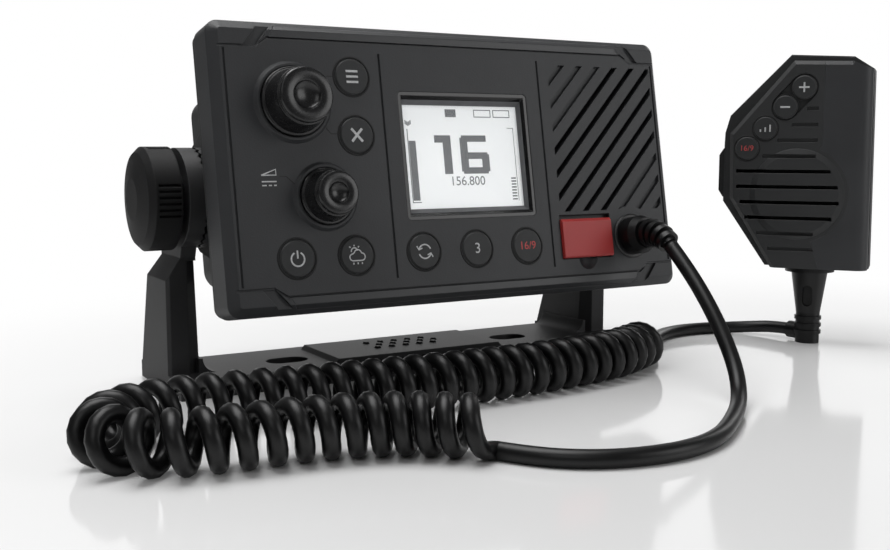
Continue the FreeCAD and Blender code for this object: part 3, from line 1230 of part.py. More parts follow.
def make_mic_rear_shell():
    """Rear shell with a seat for the talk bar, bevelled back and the hang-up button's boss."""
    shell = plate(mic_rear_outline(), HANDSET_SPLIT, HANDSET_BACK)
    shell = shell.makeChamfer(3.0, [e for e in shell.Edges if e.BoundBox.YMin > HANDSET_BACK - 1e-6])
    inner = inset_outline(mic_rear_outline(), HANDSET_WALL)
    hollow = plate(inner, HANDSET_SPLIT - 1, HANDSET_BACK - HANDSET_WALL)
    bar_slot = block(-BAR_SEAT - 5, -BAR_SEAT + HANDSET_WALL + 2, BAR_FRONT - 0.3, BAR_BACK + 0.3,
                     BAR_LOW - 0.3, BAR_HIGH + 0.3)
    boss = round_bar(6.5, BUTTON_PLACE, HANDSET_BACK - HANDSET_WALL, HANDSET_BACK + 0.8)
    bore = round_bar(BUTTON_NECK, BUTTON_PLACE, HANDSET_BACK - 5, HANDSET_BACK + 3)
    screws = [round_bar(SCREW_RADIUS, place, 0, HANDSET_BACK + 1) for place in MIC_SCREW_PLACES]
    sinks = [round_bar(3.2, place, HANDSET_BACK - 1.6, HANDSET_BACK + 1) for place in MIC_SCREW_PLACES]
    posts = [round_bar(3.6, place, HANDSET_SPLIT, HANDSET_BACK - 1) for place in MIC_SCREW_PLACES]
    shell = shell.cut([hollow, bar_slot]).fuse([boss] + posts)
    return shell.cut([bore] + screws + sinks).removeSplitter()


def make_talk_bar():
    """Push-to-talk bar on the microphone's left side, with a lip that keeps it in its seat."""
    tip = -BAR_SEAT - BAR_PROUD
    bar = plate([(tip, BAR_LOW + 3), (tip, BAR_HIGH - 3), (-BAR_SEAT - 0.6, BAR_HIGH),
                 (-BAR_SEAT + 4.2, BAR_HIGH), (-BAR_SEAT + 4.2, BAR_LOW), (-BAR_SEAT - 0.6, BAR_LOW)],
                BAR_FRONT, BAR_BACK, 0.8)
    lip_x = -BAR_SEAT + HANDSET_WALL + 0.1
    lip = block(lip_x, lip_x + 1.4, BAR_FRONT - 0.2, BAR_BACK + 1.2, BAR_LOW - 0.7, BAR_HIGH + 1.5)
    return bar.fuse(lip).removeSplitter()


def make_mic_key(place):
    """Small round microphone key with a flange inside the shell."""
    r = HANDSET_KEY_RADIUS
    back = HANDSET_FRONT + HANDSET_WALL + 0.1
    front = HANDSET_FRONT - HANDSET_KEY_PROUD
    return turned([(0, front), (r - 0.5, front), (r, front + 0.5), (r, back), (r + HANDSET_KEY_FLANGE, back),
                   (r + HANDSET_KEY_FLANGE, back + 0.8), (0, back + 0.8)], place)


def make_mic_speaker():
    """Loudspeaker driver and the key board behind the front shell."""
    front = HANDSET_FRONT + HANDSET_WALL
    r = DISC_RADIUS - 2.6
    return turned([(0, front + 3.0), (5.0, front + 3.0), (r - 1.6, front), (r, front), (r, front + 4.5),
                   (9.0, front + 4.5), (9.0, front + 7.5), (0, front + 7.5)], DISC_PLACE)


def make_hang_button():
    """Metal hang-up button on the back, which hooks into a hanger."""
    back = HANDSET_BACK
    return turned([(0, back - 3.5), (BUTTON_NECK, back - 3.5), (BUTTON_NECK, back + 4.2),
                   (BUTTON_HEAD, back + 5.2), (BUTTON_HEAD, back + 7.4), (0, back + 7.4)], BUTTON_PLACE)


def make_mic_screws():
    """Three screws that hold the microphone's shells together."""
    screws = []
    for place in MIC_SCREW_PLACES:
        screws.append(turned([(0, 0), (SCREW_RADIUS, 0), (SCREW_RADIUS, HANDSET_BACK - 1.6),
                              (SCREW_HEAD, HANDSET_BACK - 1.6), (SCREW_HEAD, HANDSET_BACK - 0.2),
                              (0, HANDSET_BACK - 0.2)], place))
    return Part.makeCompound(screws)


def boot_axis(level):
    """Point on the boot's upright axis, as placed."""
    across = FreeCAD.Rotation(V(0, 0, 1), -HANDSET_TURN).multVec(V(BOOT_ACROSS, 0, 0))
    return V(HANDSET_PLACE[0], HANDSET_PLACE[1], level) + across


def boot_exit():
    """Where the cord meets the boot's elbow, and the way it points, both as placed."""
    way = V(math.cos(math.radians(BOOT_EXIT_TURN)), math.sin(math.radians(BOOT_EXIT_TURN)), 0)
    return boot_axis(BOOT_EXIT_LEVEL) + way * BOOT_ELBOW, way


def make_boot():
    """Moulded cord boot: collar under the shell, tapered sleeve with ribs and a side exit at its foot."""
    rib = (BOOT_RIB_END - BOOT_RIB_START) / (2 * BOOT_RIBS)
    profile = [(0, 0), (BOOT_TIP, 0)]
    for i in range(BOOT_RIBS):
        z = BOOT_RIB_START + 2 * i * rib
        profile += [(BOOT_TIP, z), (BOOT_TIP + BOOT_RIB_HEIGHT, z), (BOOT_TIP + BOOT_RIB_HEIGHT, z + rib),
                    (BOOT_TIP, z + rib)]
    collar = BOOT_TOP + BOOT_COLLAR
    neck = BOOT_LENGTH - BOOT_COLLAR_HEIGHT
    profile += [(BOOT_TIP, BOOT_RIB_END), (BOOT_TOP, neck), (collar, neck), (collar, BOOT_LENGTH),
                (0, BOOT_LENGTH)]
    points = [V(r, 0, z) for r, z in profile]
    sleeve = Part.Face(Part.makePolygon(points + [points[0]])).revolve(V(0, 0, 0), V(0, 0, 1), 360)
    window = stadium(9.0, 4.0, 0, 0, -2, 1.2)
    window.rotate(V(0, 0, 0), V(0, 1, 0), 90)
    window.rotate(V(0, 0, 0), V(0, 0, 1), -90)
    window.translate(V(0, -BOOT_TOP + 1.4, 20.5))
    sleeve = sleeve.cut(window)
    sleeve.translate(V(BOOT_ACROSS, 0, 0))
    placed = on_handset(sleeve)
    exit_point, way = boot_exit()
    elbow = rod(LEAD_LEVEL + 1.1, boot_axis(BOOT_EXIT_LEVEL), exit_point)
    return placed.fuse(elbow).removeSplitter()


# ---------------------------------------------------------------- all the sub-parts, as placed
def save(name, shape):
    """Writes one sub-part as parts/NAME.step."""
    if not shape.isValid():
        print("not valid:", name)
    shape.exportStep("parts/" + name + ".step")


os.makedirs("parts", exist_ok=True)

save("bracket", make_bracket())
for side in ("left", "right"):
    for piece, shape in (("knob_washer", make_washer()), ("knob", make_knob()), ("knob_stud", make_stud())):
        save(side + "_" + piece, mirrored(shape) if side == "left" else shape)

HEAD_PIECES = {
    "front_bezel": make_bezel(),
    "top_trim_strip": make_trim(True),
    "bottom_trim_strip": make_trim(False),
    "bezel_seal": make_seal(),
    "rear_case": make_case(),
    "case_screws": make_screws(),
    "thread_inserts": make_inserts(),
    "window_frame": make_window_frame(),
    "window_lens": make_lens(),
    "display_panel": make_display_panel(),
    "key_mat": make_key_mat(),
    "front_board": make_front_board(),
    "main_board": make_main_board(),
    "encoder_cans": make_encoder_cans(),
    "speaker_frame": make_speaker_frame(),
    "speaker_cone": make_speaker_cone(),
    "speaker_cloth": make_gauze(),
    "antenna_socket": make_antenna_socket(),
    "network_socket": make_network_socket(),
    "power_gland": make_power_gland(),
    "mic_socket": make_mic_socket(),
    "mic_plug": make_plug(),
    "distress_cover": make_cover(),
    "distress_hinge_pin": cover_pin(0),
    "distress_key": make_distress_key(),
}
for key, place in KEY_PLACES.items():
    HEAD_PIECES[key] = make_key(place)
for knob, place, base, top, height, dimple in (
        ("channel", CHANNEL_PLACE, CHANNEL_BASE, CHANNEL_TOP, CHANNEL_HEIGHT, CHANNEL_DIMPLE),
        ("volume", VOLUME_PLACE, VOLUME_BASE, VOLUME_TOP, VOLUME_HEIGHT, VOLUME_DIMPLE)):
    HEAD_PIECES[knob + "_knob"] = make_control_knob(place, base, top, height, dimple)
    HEAD_PIECES[knob + "_shaft"] = make_shaft(place, height)
    HEAD_PIECES[knob + "_plunger"] = make_plunger(place)
for name, shape in HEAD_PIECES.items():
    save(name, on_head(shape))

HANDSET_PIECES = {
    "mic_front_shell": make_mic_front_shell(),
    "mic_rear_shell": make_mic_rear_shell(),
    "mic_side_panel": make_mic_side_panel(),
    "mic_talk_bar": make_talk_bar(),
    "mic_speaker": make_mic_speaker(),
    "mic_hang_button": make_hang_button(),
    "mic_screws": make_mic_screws(),
}
for key, place in HANDSET_KEY_PLACES.items():
    HANDSET_PIECES[key] = make_mic_key(place)
for name, shape in HANDSET_PIECES.items():
    save(name, on_handset(shape))
save("mic_boot", make_boot())

for name, shape in cord_parts().items():
    save(name, shape)
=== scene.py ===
import math

import bpy
from mathutils import Matrix, Vector


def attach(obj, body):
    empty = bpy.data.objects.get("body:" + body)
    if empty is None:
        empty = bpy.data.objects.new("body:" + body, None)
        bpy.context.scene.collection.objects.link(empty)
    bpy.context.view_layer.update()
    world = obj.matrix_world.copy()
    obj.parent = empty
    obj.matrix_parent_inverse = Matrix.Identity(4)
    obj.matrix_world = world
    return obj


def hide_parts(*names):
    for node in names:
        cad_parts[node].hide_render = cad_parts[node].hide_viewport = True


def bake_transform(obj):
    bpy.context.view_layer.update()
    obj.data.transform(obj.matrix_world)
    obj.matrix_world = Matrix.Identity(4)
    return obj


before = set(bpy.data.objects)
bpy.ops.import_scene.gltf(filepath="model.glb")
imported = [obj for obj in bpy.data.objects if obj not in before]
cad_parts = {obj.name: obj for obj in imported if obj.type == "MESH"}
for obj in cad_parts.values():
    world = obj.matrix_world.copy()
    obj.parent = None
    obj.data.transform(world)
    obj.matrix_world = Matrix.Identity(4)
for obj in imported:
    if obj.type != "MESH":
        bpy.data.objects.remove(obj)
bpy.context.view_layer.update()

# ---------------------------------------------------------------- camera
# Low and from the radio's left front, level with the middle of the face, so that the face, the left gimbal
# knob and the curly cord on the floor are all seen.
camera_data = bpy.data.cameras.new("camera")
camera_data.sensor_width = 36
camera_data.lens = 44.32
camera_data.clip_start = 0.01
camera = bpy.data.objects.new("camera", camera_data)
bpy.context.scene.collection.objects.link(camera)
camera.location = (-0.19738, -0.36810, 0.08424)
camera.rotation_mode = "QUATERNION"
camera.rotation_quaternion = Vector((0.50263, 0.85631, -0.11876)).to_track_quat("-Z", "Y")
bpy.context.scene.camera = camera


# ---------------------------------------------------------------- microphone cord
# A 5.2 mm PVC-jacketed cord: a straight lead from the plug, a curly middle wound at the works to 18 mm
# across, and a straight lead to the microphone's boot. Extruded black PVC, smooth, with long soft highlights.
def linear(code):
    """An sRGB hex colour as the shader's linear values."""
    parts = [int(code[i:i + 2], 16) / 255 for i in (1, 3, 5)]
    return [p / 12.92 if p <= 0.04045 else ((p + 0.055) / 1.055) ** 2.4 for p in parts] + [1.0]


def put(tree, kind, wires=None, **settings):
    """Adds one node: settings are its properties or the values of its inputs, wires feed its inputs.

    The setting ramp gives a colour ramp its two (position, sRGB hex) stops.
    """
    made = tree.nodes.new(kind)
    for key, value in settings.items():
        if key == "ramp":
            for element, (position, colour) in zip(made.color_ramp.elements, value):
                element.position = position
                element.color = linear(colour)
        elif hasattr(made, key):
            setattr(made, key, value)
        else:
            made.inputs[key.replace("_", " ")].default_value = value
    for key, socket in (wires or {}).items():
        tree.links.new(socket, made.inputs[key])
    return made


def blank_material(name):
    """An empty material with its output, ready for a shader."""
    made = bpy.data.materials.new(name)
    made.use_nodes = True
    made.node_tree.nodes.clear()
    return made, made.node_tree, made.node_tree.nodes.new("ShaderNodeOutputMaterial")


def extruded_pvc():
    """Plasticised PVC jacket under a thin film of dust, IOR 1.42: near black, with faint drawing lines."""
    made, tree, out = blank_material("extruded_black_pvc")
    place = put(tree, "ShaderNodeTexCoord").outputs["Object"]
    haze = put(tree, "ShaderNodeTexNoise", {"Vector": place}, Scale=90.0, Detail=3.0).outputs["Fac"]
    ripple = put(tree, "ShaderNodeTexNoise", {"Vector": place}, Scale=700.0, Detail=2.0).outputs["Fac"]
    tone = put(tree, "ShaderNodeValToRGB", {"Fac": haze}, ramp=((0.35, "#050506"), (0.75, "#09090a")))
    rough = put(tree, "ShaderNodeMapRange", {"Value": haze}, To_Min=0.34, To_Max=0.44)
    bump = put(tree, "ShaderNodeBump", {"Height": ripple}, Strength=0.12, Distance=0.0001)
    shader = put(tree, "ShaderNodeBsdfPrincipled", {"Base Color": tone.outputs["Color"],
                 "Roughness": rough.outputs["Result"], "Normal": bump.outputs["Normal"]}, IOR=1.42)
    tree.links.new(shader.outputs["BSDF"], out.inputs["Surface"])
    return made


CORD_PVC = extruded_pvc()
# in metres, except the routes and the height of the coil's axis, which are in millimetres
CORD_RADIUS = 0.0026
COIL_RADIUS = 0.0065
REAR_PITCH = 0.0070
BEND_PITCH = 0.0081
FRONT_PITCH = 0.0066
CLOSED_PITCH = 0.0053       # the inner sides of the turns all but touch
BEND_LIFT = 0.000036        # the axis moves out by this in a bend of 1 m radius, and by more in a tighter one
RUN_OUT = 0.007             # length over which the coil straightens at each end
AXIS_STEP = 0.001
LEAD_STEP = 0.0015
OPENING = (0.45, 0.10)      # where along the axis the turns open for the bend, and over how much of it
CLOSING = (0.70, 0.25)      # where they close again
SMOOTH_REACH = 6            # steps to each side
BEND_REACH = 9
TURN_POINTS = 18
COIL_SIDES = 12
LEAD_SIDES = 20
COIL_HEIGHT = 9.0
COIL_ROUTE = [(77, -51), (60, -60.5), (38, -66), (13, -69), (-14, -69.5), (-40, -68), (-66, -65.5),
              (-90, -62.5), (-110, -62), (-124, -67), (-131.5, -78), (-130, -91), (-119, -99.5),
              (-103, -102.5), (-86, -104), (-71, -107.5), (-58, -113.5), (-47, -122.5), (-40.4, -127.9)]
LEAD_A_ROUTE = [(-40.4, -127.9, 2.5), (-36.2, -135.4, 2.5), (-30.2, -142.6, 2.5), (-22, -148.4, 2.5),
                (-12, -152, 2.5), (0, -153.4, 2.5), (12, -151.6, 2.5), (22.8, -147, 2.5), (33, -140, 2.5),
                (42.8, -132.4, 2.5), (52, -124.8, 2.6), (58.6, -118.6, 5.2), (63, -112.6, 10.8),
                (65.2, -105.4, 19.2), (66.4, -96, 29.8), (67.5, -84.19, 40.76), (67.5, -74.59, 48.76)]
LEAD_B_ROUTE = [(77, -51, 2.5), (85.3, -46.4, 2.5), (92.2, -38, 2.5), (100, -28, 2.5),
                (109.8, -18.4, 2.5), (121.5, -11.4, 2.5), (134, -8.2, 2.5), (146.4, -9.2, 2.5),
                (157, -13.6, 2.6), (165.2, -20.4, 3.3), (169.81, -29.82, 4.4), (170.51, -37.79, 4.4)]


def cord_line(name, points):
    """The smooth line of a stretch of cord, read from the NURBS spline through its route."""
    curve = bpy.data.curves.new(name + "_line", "CURVE")
    curve.dimensions = "3D"
    curve.resolution_u = 24
    spline = curve.splines.new("NURBS")
    spline.points.add(len(points) - 1)
    for i, (x, y, z) in enumerate(points):
        spline.points[i].co = (x / 1000, y / 1000, z / 1000, 1)
    spline.order_u = 3
    spline.use_endpoint_u = True
    spline.resolution_u = 24
    holder = bpy.data.objects.new(name + "_line", curve)
    bpy.context.scene.collection.objects.link(holder)
    mesh = bpy.data.meshes.new_from_object(holder)
    line = [v.co.copy() for v in mesh.vertices]
    bpy.data.objects.remove(holder)
    bpy.data.meshes.remove(mesh)
    return line


def cord_skin(name, line, sides):
    """Round tube along a line, closed at both ends."""
    side = (line[1] - line[0]).cross(Vector((0, 0, 1))).normalized()
    points, faces = [], []
    for i, centre in enumerate(line):
        along = (line[min(i + 1, len(line) - 1)] - line[max(i - 1, 0)]).normalized()
        side = (side - along * side.dot(along)).normalized()
        up = side.cross(along)
        for k in range(sides):
            turn = 2 * math.pi * k / sides
            spoke = side * (CORD_RADIUS * math.cos(turn)) + up * (CORD_RADIUS * math.sin(turn))
            points.append(centre + spoke)
    for i in range(len(line) - 1):
        for k in range(sides):
            a, b = i * sides + k, i * sides + (k + 1) % sides
            faces.append((a, a + sides, b + sides, b))
    faces.append(tuple(range(sides)))
    faces.append(tuple(reversed(range((len(line) - 1) * sides, len(line) * sides))))
    mesh = bpy.data.meshes.new(name)
    mesh.from_pydata(points, [], faces)
    mesh.validate()
    tube = bpy.data.objects.new(name, mesh)
    bpy.context.scene.collection.objects.link(tube)
    for face in mesh.polygons:
        face.use_smooth = len(face.vertices) == 4
    mesh.materials.append(CORD_PVC)
    return tube


def length_of(line):
    """Length along a line's points."""
    return sum((line[i + 1] - line[i]).length for i in range(len(line) - 1))


def evenly(line, step):
    """The same line with a point about every step."""
    count = max(2, round(length_of(line) / step))
    total, made, walked, i = length_of(line), [], 0.0, 0
    for k in range(count + 1):
        want = total * k / count
        while i < len(line) - 2 and walked + (line[i + 1] - line[i]).length < want:
            walked += (line[i + 1] - line[i]).length
            i += 1
        gap = (line[i + 1] - line[i]).length
        made.append(line[i].lerp(line[i + 1], min(1.0, (want - walked) / gap)))
    return made


def share_past(place, stretch):
    """0 before a stretch of the line, 1 after it, and rising evenly within it."""
    start, length = stretch
    return min(1.0, max(0.0, (place - start) / length))


def smoothed(values, zero):
    """Each value's mean with its neighbours."""
    made = []
    for i in range(len(values)):
        near = values[max(0, i - SMOOTH_REACH):i + SMOOTH_REACH + 1]
        made.append(sum(near, zero) / len(near))
    return made


def curly(line):
    """Helix round the coil's line. Where the coil bends, its turns open and ride a little to the outside."""
    line = evenly(line, AXIS_STEP)
    count = len(line)
    pitches, lifts = [], []
    for i in range(count):
        a, b = line[max(i - BEND_REACH, 0)], line[min(i + BEND_REACH, count - 1)]
        before = (line[i] - a).normalized() if i else (b - line[i]).normalized()
        after = (b - line[i]).normalized() if i < count - 1 else before
        bend = before.angle(after, 0.0) / max((b - a).length / 2, 1e-6)
        opened = share_past(i / count, OPENING)
        closed = share_past(i / count, CLOSING)
        plain = REAR_PITCH + (BEND_PITCH - REAR_PITCH) * opened + (FRONT_PITCH - BEND_PITCH) * closed
        # an old coil's turns are a little uneven
        plain *= 1 + 0.035 * math.sin(i * 0.31) + 0.03 * math.sin(i * 0.117 + 1.3)
        inner_share = 1 - (COIL_RADIUS - BEND_LIFT * bend) * bend
        pitches.append(max(plain, CLOSED_PITCH / max(0.3, inner_share)))
        lifts.append((before + after).normalized().cross(Vector((0, 0, 1))) * (BEND_LIFT * bend))
        if before.cross(after).z < 0:
            lifts[-1] = -lifts[-1]
    pitches = smoothed(pitches, 0)
    lifts = smoothed(lifts, Vector())
    for i in range(count):
        for to_end in ((count - 1 - i) * AXIS_STEP, i * AXIS_STEP):
            pitches[i] *= max(1.0, RUN_OUT / max(to_end, 0.0006))
    turns, total = [0.0], 0.0
    for i in range(1, count):
        total += (line[i] - line[i - 1]).length / pitches[i]
        turns.append(total)
    whole = round(total)
    turns = [t * whole / total for t in turns]
    helix, i = [], 0
    for k in range(whole * TURN_POINTS + 1):
        want = k / TURN_POINTS
        while i < count - 2 and turns[i + 1] < want:
            i += 1
        share = min(1.0, max(0.0, (want - turns[i]) / max(turns[i + 1] - turns[i], 1e-9)))
        centre = (line[i] + lifts[i]).lerp(line[i + 1] + lifts[i + 1], share)
        along = (line[min(i + 3, count - 1)] - line[max(i - 3, 0)]).normalized()
        out = along.cross(Vector((0, 0, 1))).normalized()
        turn = -math.pi / 2 - 2 * math.pi * want
        rise = Vector((0, 0, COIL_RADIUS * math.sin(turn)))
        helix.append(centre + out * (COIL_RADIUS * math.cos(turn)) + rise)
    return helix


coil_line = curly(cord_line("coil", [(x, y, COIL_HEIGHT) for x, y in COIL_ROUTE]))
curly_cord = cord_skin("curly_cord", coil_line, COIL_SIDES)
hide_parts("cord_coil")
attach(curly_cord, "bracket")

lead_a_line = evenly(cord_line("plug_lead", LEAD_A_ROUTE), LEAD_STEP)
plug_lead = cord_skin("plug_lead", lead_a_line, LEAD_SIDES)
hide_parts("cord_lead_a")
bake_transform(plug_lead)

lead_b_line = evenly(cord_line("microphone_lead", LEAD_B_ROUTE), LEAD_STEP)
microphone_lead = cord_skin("microphone_lead", lead_b_line, LEAD_SIDES)
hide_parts("cord_lead_b")
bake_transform(microphone_lead)


# ---------------------------------------------------------------- moulded housings
# Bezel, rear case, bracket and the microphone's shells: injection-moulded ASA with a fine spark-eroded grain.
# The mould's edges are stoned to about 0.4 mm, so they catch the light, and a painted highlight pales them in
# patches.
def moulded_asa(name, colour, edge_highlight, roughness, grain, edge, ior=1.52):
    """Moulded plastic: two close greys, pebbled grain, eased edges and a painted highlight along them, in
    patches.

    ASA's IOR is 1.52. A lower one stands for a coarse or soft skin that shines less at a low angle.
    """
    made, tree, out = blank_material(name)
    place = put(tree, "ShaderNodeTexCoord").outputs["Object"]
    drift = put(tree, "ShaderNodeTexNoise", {"Vector": place}, Scale=45.0, Detail=4.0).outputs["Fac"]
    # the real pebbles are about 0.15 mm across and are drawn near 0.5 mm, so that they show
    pebbles = put(tree, "ShaderNodeTexNoise", {"Vector": place}, Scale=2000.0, Detail=2.0).outputs["Fac"]
    tone = put(tree, "ShaderNodeValToRGB", {"Fac": drift}, ramp=((0.30, colour[0]), (0.72, colour[1])))
    eased = put(tree, "ShaderNodeBevel", samples=6, Radius=edge)
    plain = put(tree, "ShaderNodeNewGeometry")
    turned_away = put(tree, "ShaderNodeVectorMath", operation="DOT_PRODUCT")
    tree.links.new(eased.outputs["Normal"], turned_away.inputs[0])
    tree.links.new(plain.outputs["Normal"], turned_away.inputs[1])
    # painted highlight: paler along the eased edges, where the eased normal turns from the plain one, patchy
    # with the drift
    painted_edge_highlight = put(tree, "ShaderNodeMapRange", {"Value": turned_away.outputs["Value"]},
              From_Min=0.99, From_Max=0.80, To_Min=0.0, To_Max=0.55)
    edge_highlight_patches = put(tree, "ShaderNodeMath", operation="MULTIPLY")
    tree.links.new(painted_edge_highlight.outputs["Result"], edge_highlight_patches.inputs[0])
    tree.links.new(drift, edge_highlight_patches.inputs[1])
    mixed = put(tree, "ShaderNodeMixRGB", {"Fac": edge_highlight_patches.outputs["Value"], "Color1": tone.outputs["Color"]},
                Color2=linear(edge_highlight))
    rough = put(tree, "ShaderNodeMapRange", {"Value": pebbles},
                To_Min=roughness - 0.06, To_Max=roughness + 0.08)
    bump = put(tree, "ShaderNodeBump", {"Height": pebbles, "Normal": eased.outputs["Normal"]},
               Strength=grain, Distance=0.00012)
    shader = put(tree, "ShaderNodeBsdfPrincipled", {"Base Color": mixed.outputs["Color"],
                 "Roughness": rough.outputs["Result"], "Normal": bump.outputs["Normal"]}, IOR=ior)
    tree.links.new(shader.outputs["BSDF"], out.inputs["Surface"])
    return made


def dress(material, *nodes):
    """Gives a finish to the solids that keep their own shape."""
    for name in nodes:
        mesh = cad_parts[name].data
        mesh.materials.clear()
        mesh.materials.append(material)


GRAINED_ASA = moulded_asa("spark_eroded_grey_asa", ("#2d2e30", "#333436"), "#47484b",
                          0.48, 0.35, 0.0004, 1.46)
CASE_ASA = moulded_asa("spark_eroded_dark_asa", ("#212223", "#28292a"), "#3d3e40", 0.52, 0.40, 0.0004)
BRACKET_ASA = moulded_asa("glass_filled_grey_asa", ("#29292a", "#303031"), "#404143",
                          0.50, 0.30, 0.0006, 1.40)
SATIN_ASA = moulded_asa("satin_grey_asa", ("#2b2c2e", "#313234"), "#4a4b4e", 0.38, 0.15, 0.0004)
dress(GRAINED_ASA, "front_bezel", "mic_side_panel")
dress(CASE_ASA, "rear_case", "mic_front_shell", "mic_rear_shell")
dress(BRACKET_ASA, "bracket")
dress(SATIN_ASA, "top_trim_strip", "bottom_trim_strip")


# ---------------------------------------------------------------- knobs and talk bar
# Gimbal knobs, control knobs, window frame and talk bar: black rubber, glass-filled nylon and ABS, moulded
# with a polished tool on the rims, so they are darker than the housings and mostly glossier.
SOFT_TOUCH = moulded_asa("soft_touch_black_tpe", ("#0a0a0b", "#101011"), "#232324", 0.60, 0.10, 0.0006, 1.36)
KNOB_NYLON = moulded_asa("satin_black_nylon", ("#111112", "#171718"), "#2c2c2e", 0.40, 0.12, 0.0005)
GLOSS_ABS = moulded_asa("gloss_black_abs", ("#101011", "#141415"), "#28282a", 0.16, 0.04, 0.0003)
dress(SOFT_TOUCH, "left_knob", "right_knob")
dress(KNOB_NYLON, "channel_knob", "volume_knob", "mic_socket", "mic_talk_bar")
dress(GLOSS_ABS, "window_frame")
dress(CORD_PVC, "mic_plug", "mic_boot")

# New pieces are drawn flat, then settled. The head's frame starts in the middle of its face and leans back
# with it. The handset's frame starts on the floor under its middle and is turned with it.
HEAD_TILT = -10.2
HANDSET_TURN = -54
HEAD_FRAME = Matrix.Translation((0, -0.048636, 0.077266)) @ Matrix.Rotation(math.radians(HEAD_TILT), 4, "X")
HANDSET_FRAME = Matrix.Translation((0.173, -0.0491, 0)) @ Matrix.Rotation(math.radians(HANDSET_TURN), 4, "Z")
UPRIGHT = Matrix.Rotation(math.radians(90), 4, "X")
SMOOTH_ANGLE = math.radians(32)


def settle(piece, home, across, up, depth, body, material):
    """Takes a piece drawn flat, facing up, to its place on the head or handset, with its body and finish."""
    place = home @ Matrix.Translation((across, depth, up)) @ UPRIGHT
    piece.data.transform(place @ piece.matrix_basis)
    piece.matrix_basis = Matrix.Identity(4)
    piece.data.materials.clear()
    piece.data.materials.append(material)
    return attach(piece, body)


def turned_piece(name, steps, sides, open_ring=False):
    """Round piece drawn step by step from a circle, as on a lathe. Steps are (radius, height) in mm."""
    bpy.ops.object.select_all(action="DESELECT")
    first, start = steps[0]
    bpy.ops.mesh.primitive_circle_add(vertices=sides, radius=first / 1000, location=(0, 0, start / 1000),
                                      fill_type="NOTHING" if open_ring else "NGON")
    bpy.ops.object.transform_apply(location=True)
    piece = bpy.context.object
    piece.name = name
    bpy.ops.object.mode_set(mode="EDIT")
    bpy.ops.mesh.select_all(action="SELECT")
    extrude = bpy.ops.mesh.extrude_edges_move if open_ring else bpy.ops.mesh.extrude_region_move
    for (r0, h0), (r1, h1) in zip(steps, steps[1:]):
        extrude(TRANSFORM_OT_translate={"value": (0, 0, (h1 - h0) / 1000)})
        bpy.ops.transform.resize(value=(r1 / r0, r1 / r0, 1), center_override=(0, 0, h1 / 1000))
    bpy.ops.mesh.select_all(action="SELECT")
    bpy.ops.mesh.remove_doubles(threshold=0.000001)
    bpy.ops.mesh.normals_make_consistent(inside=False)
    bpy.ops.object.mode_set(mode="OBJECT")
    bpy.ops.object.shade_smooth_by_angle(angle=SMOOTH_ANGLE)
    return piece


# Channel and volume knobs: waisted sides, a double rim, a flat ring on top and a dished middle.
KNOB_SIDES = 96
KNOB_GAP = 0.001            # between the knob's back rim and the face


def control_knob(name, place, base, top, height, dish):
    """Moulded control knob, from its back rim to the middle of its dish."""
    steps = [(base - 0.25, 0), (base, 0.2), (base, 1.0), (base - 0.25, 1.3), (base - 0.75, 1.45),
             (base - 0.9, 1.9), (top + 0.55, height - 4.2), (top + 0.35, height - 3.6),
             (top + 0.75, height - 3.2), (top + 0.9, height - 2.7), (top + 0.75, height - 2.15),
             (top + 0.2, height - 1.95),
             (top + 0.05, height - 1.6), (top + 0.35, height - 1.3), (top + 0.4, height - 0.75),
             (top + 0.1, height - 0.25), (top - 0.4, height), (dish + 0.5, height - 0.12),
             (dish + 0.15, height - 0.3), (dish, height - 0.65), (dish * 0.86, height - 1.15),
             (dish * 0.6, height - 1.6), (dish * 0.3, height - 1.85), (0.3, height - 1.95)]
    knob = turned_piece(name, steps, KNOB_SIDES)
    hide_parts(name)
    body = name.replace("_knob", "_dial")
    return settle(knob, HEAD_FRAME, place[0] / 1000, place[1] / 1000, -KNOB_GAP, body, KNOB_GLOSS)


CHANNEL_PLACE = (-62.9, 20.2)
VOLUME_PLACE = (-54.5, -9.7)
KNOB_GLOSS = moulded_asa("polished_black_nylon", ("#161617", "#1c1c1d"), "#3a3a3c", 0.24, 0.06, 0.0003)
control_knob("channel_knob", CHANNEL_PLACE, 11.0, 8.3, 11.0, 4.3)
control_knob("volume_knob", VOLUME_PLACE, 9.0, 6.5, 9.5, 3.2)


# ---------------------------------------------------------------- keys and key mat
# Round keys of matt silicone-coated polycarbonate, each with its sign printed in white or red and cured.
def silicone(name, colour, roughness):
    """Silicone rubber, IOR 1.41: soft, matt, with a dusty sheen."""
    made, tree, out = blank_material(name)
    place = put(tree, "ShaderNodeTexCoord").outputs["Object"]
    dust = put(tree, "ShaderNodeTexNoise", {"Vector": place}, Scale=300.0, Detail=5.0).outputs["Fac"]
    tone = put(tree, "ShaderNodeValToRGB", {"Fac": dust}, ramp=((0.3, colour[0]), (0.8, colour[1])))
    bump = put(tree, "ShaderNodeBump", {"Height": dust}, Strength=0.15, Distance=0.0001)
    shader = put(tree, "ShaderNodeBsdfPrincipled", {"Base Color": tone.outputs["Color"],
                 "Normal": bump.outputs["Normal"]}, Roughness=roughness, IOR=1.41, Sheen_Weight=0.15)
    tree.links.new(shader.outputs["BSDF"], out.inputs["Surface"])
    return made


KEY_RUBBER = silicone("matt_key_silicone", ("#28292a", "#2e2f30"), 0.55)
MAT_RUBBER = silicone("grey_mat_silicone", ("#4a4c4e", "#55575a"), 0.6)
# black rubber for the bezel's real seal, and for the rings of painted shade round the keys
SEAL_AND_SHADE_RUBBER = silicone("black_seal_epdm", ("#101011", "#181819"), 0.7)
FACE_KEYS = ("menu_key", "cancel_key", "power_key", "weather_key", "scan_key", "channel_3_key",
             "channel_16_key")
MIC_KEYS = ("mic_up_key", "mic_down_key", "mic_power_key", "mic_channel_key")
dress(KEY_RUBBER, *FACE_KEYS, *MIC_KEYS)
dress(MAT_RUBBER, "key_mat")
dress(SEAL_AND_SHADE_RUBBER, "bezel_seal")


# Each key stands in a thin ring of black rubber that lies on the face: painted shade, a dark ring put where
# the shade round the key falls.
SHADE_RING_SIDES = 64


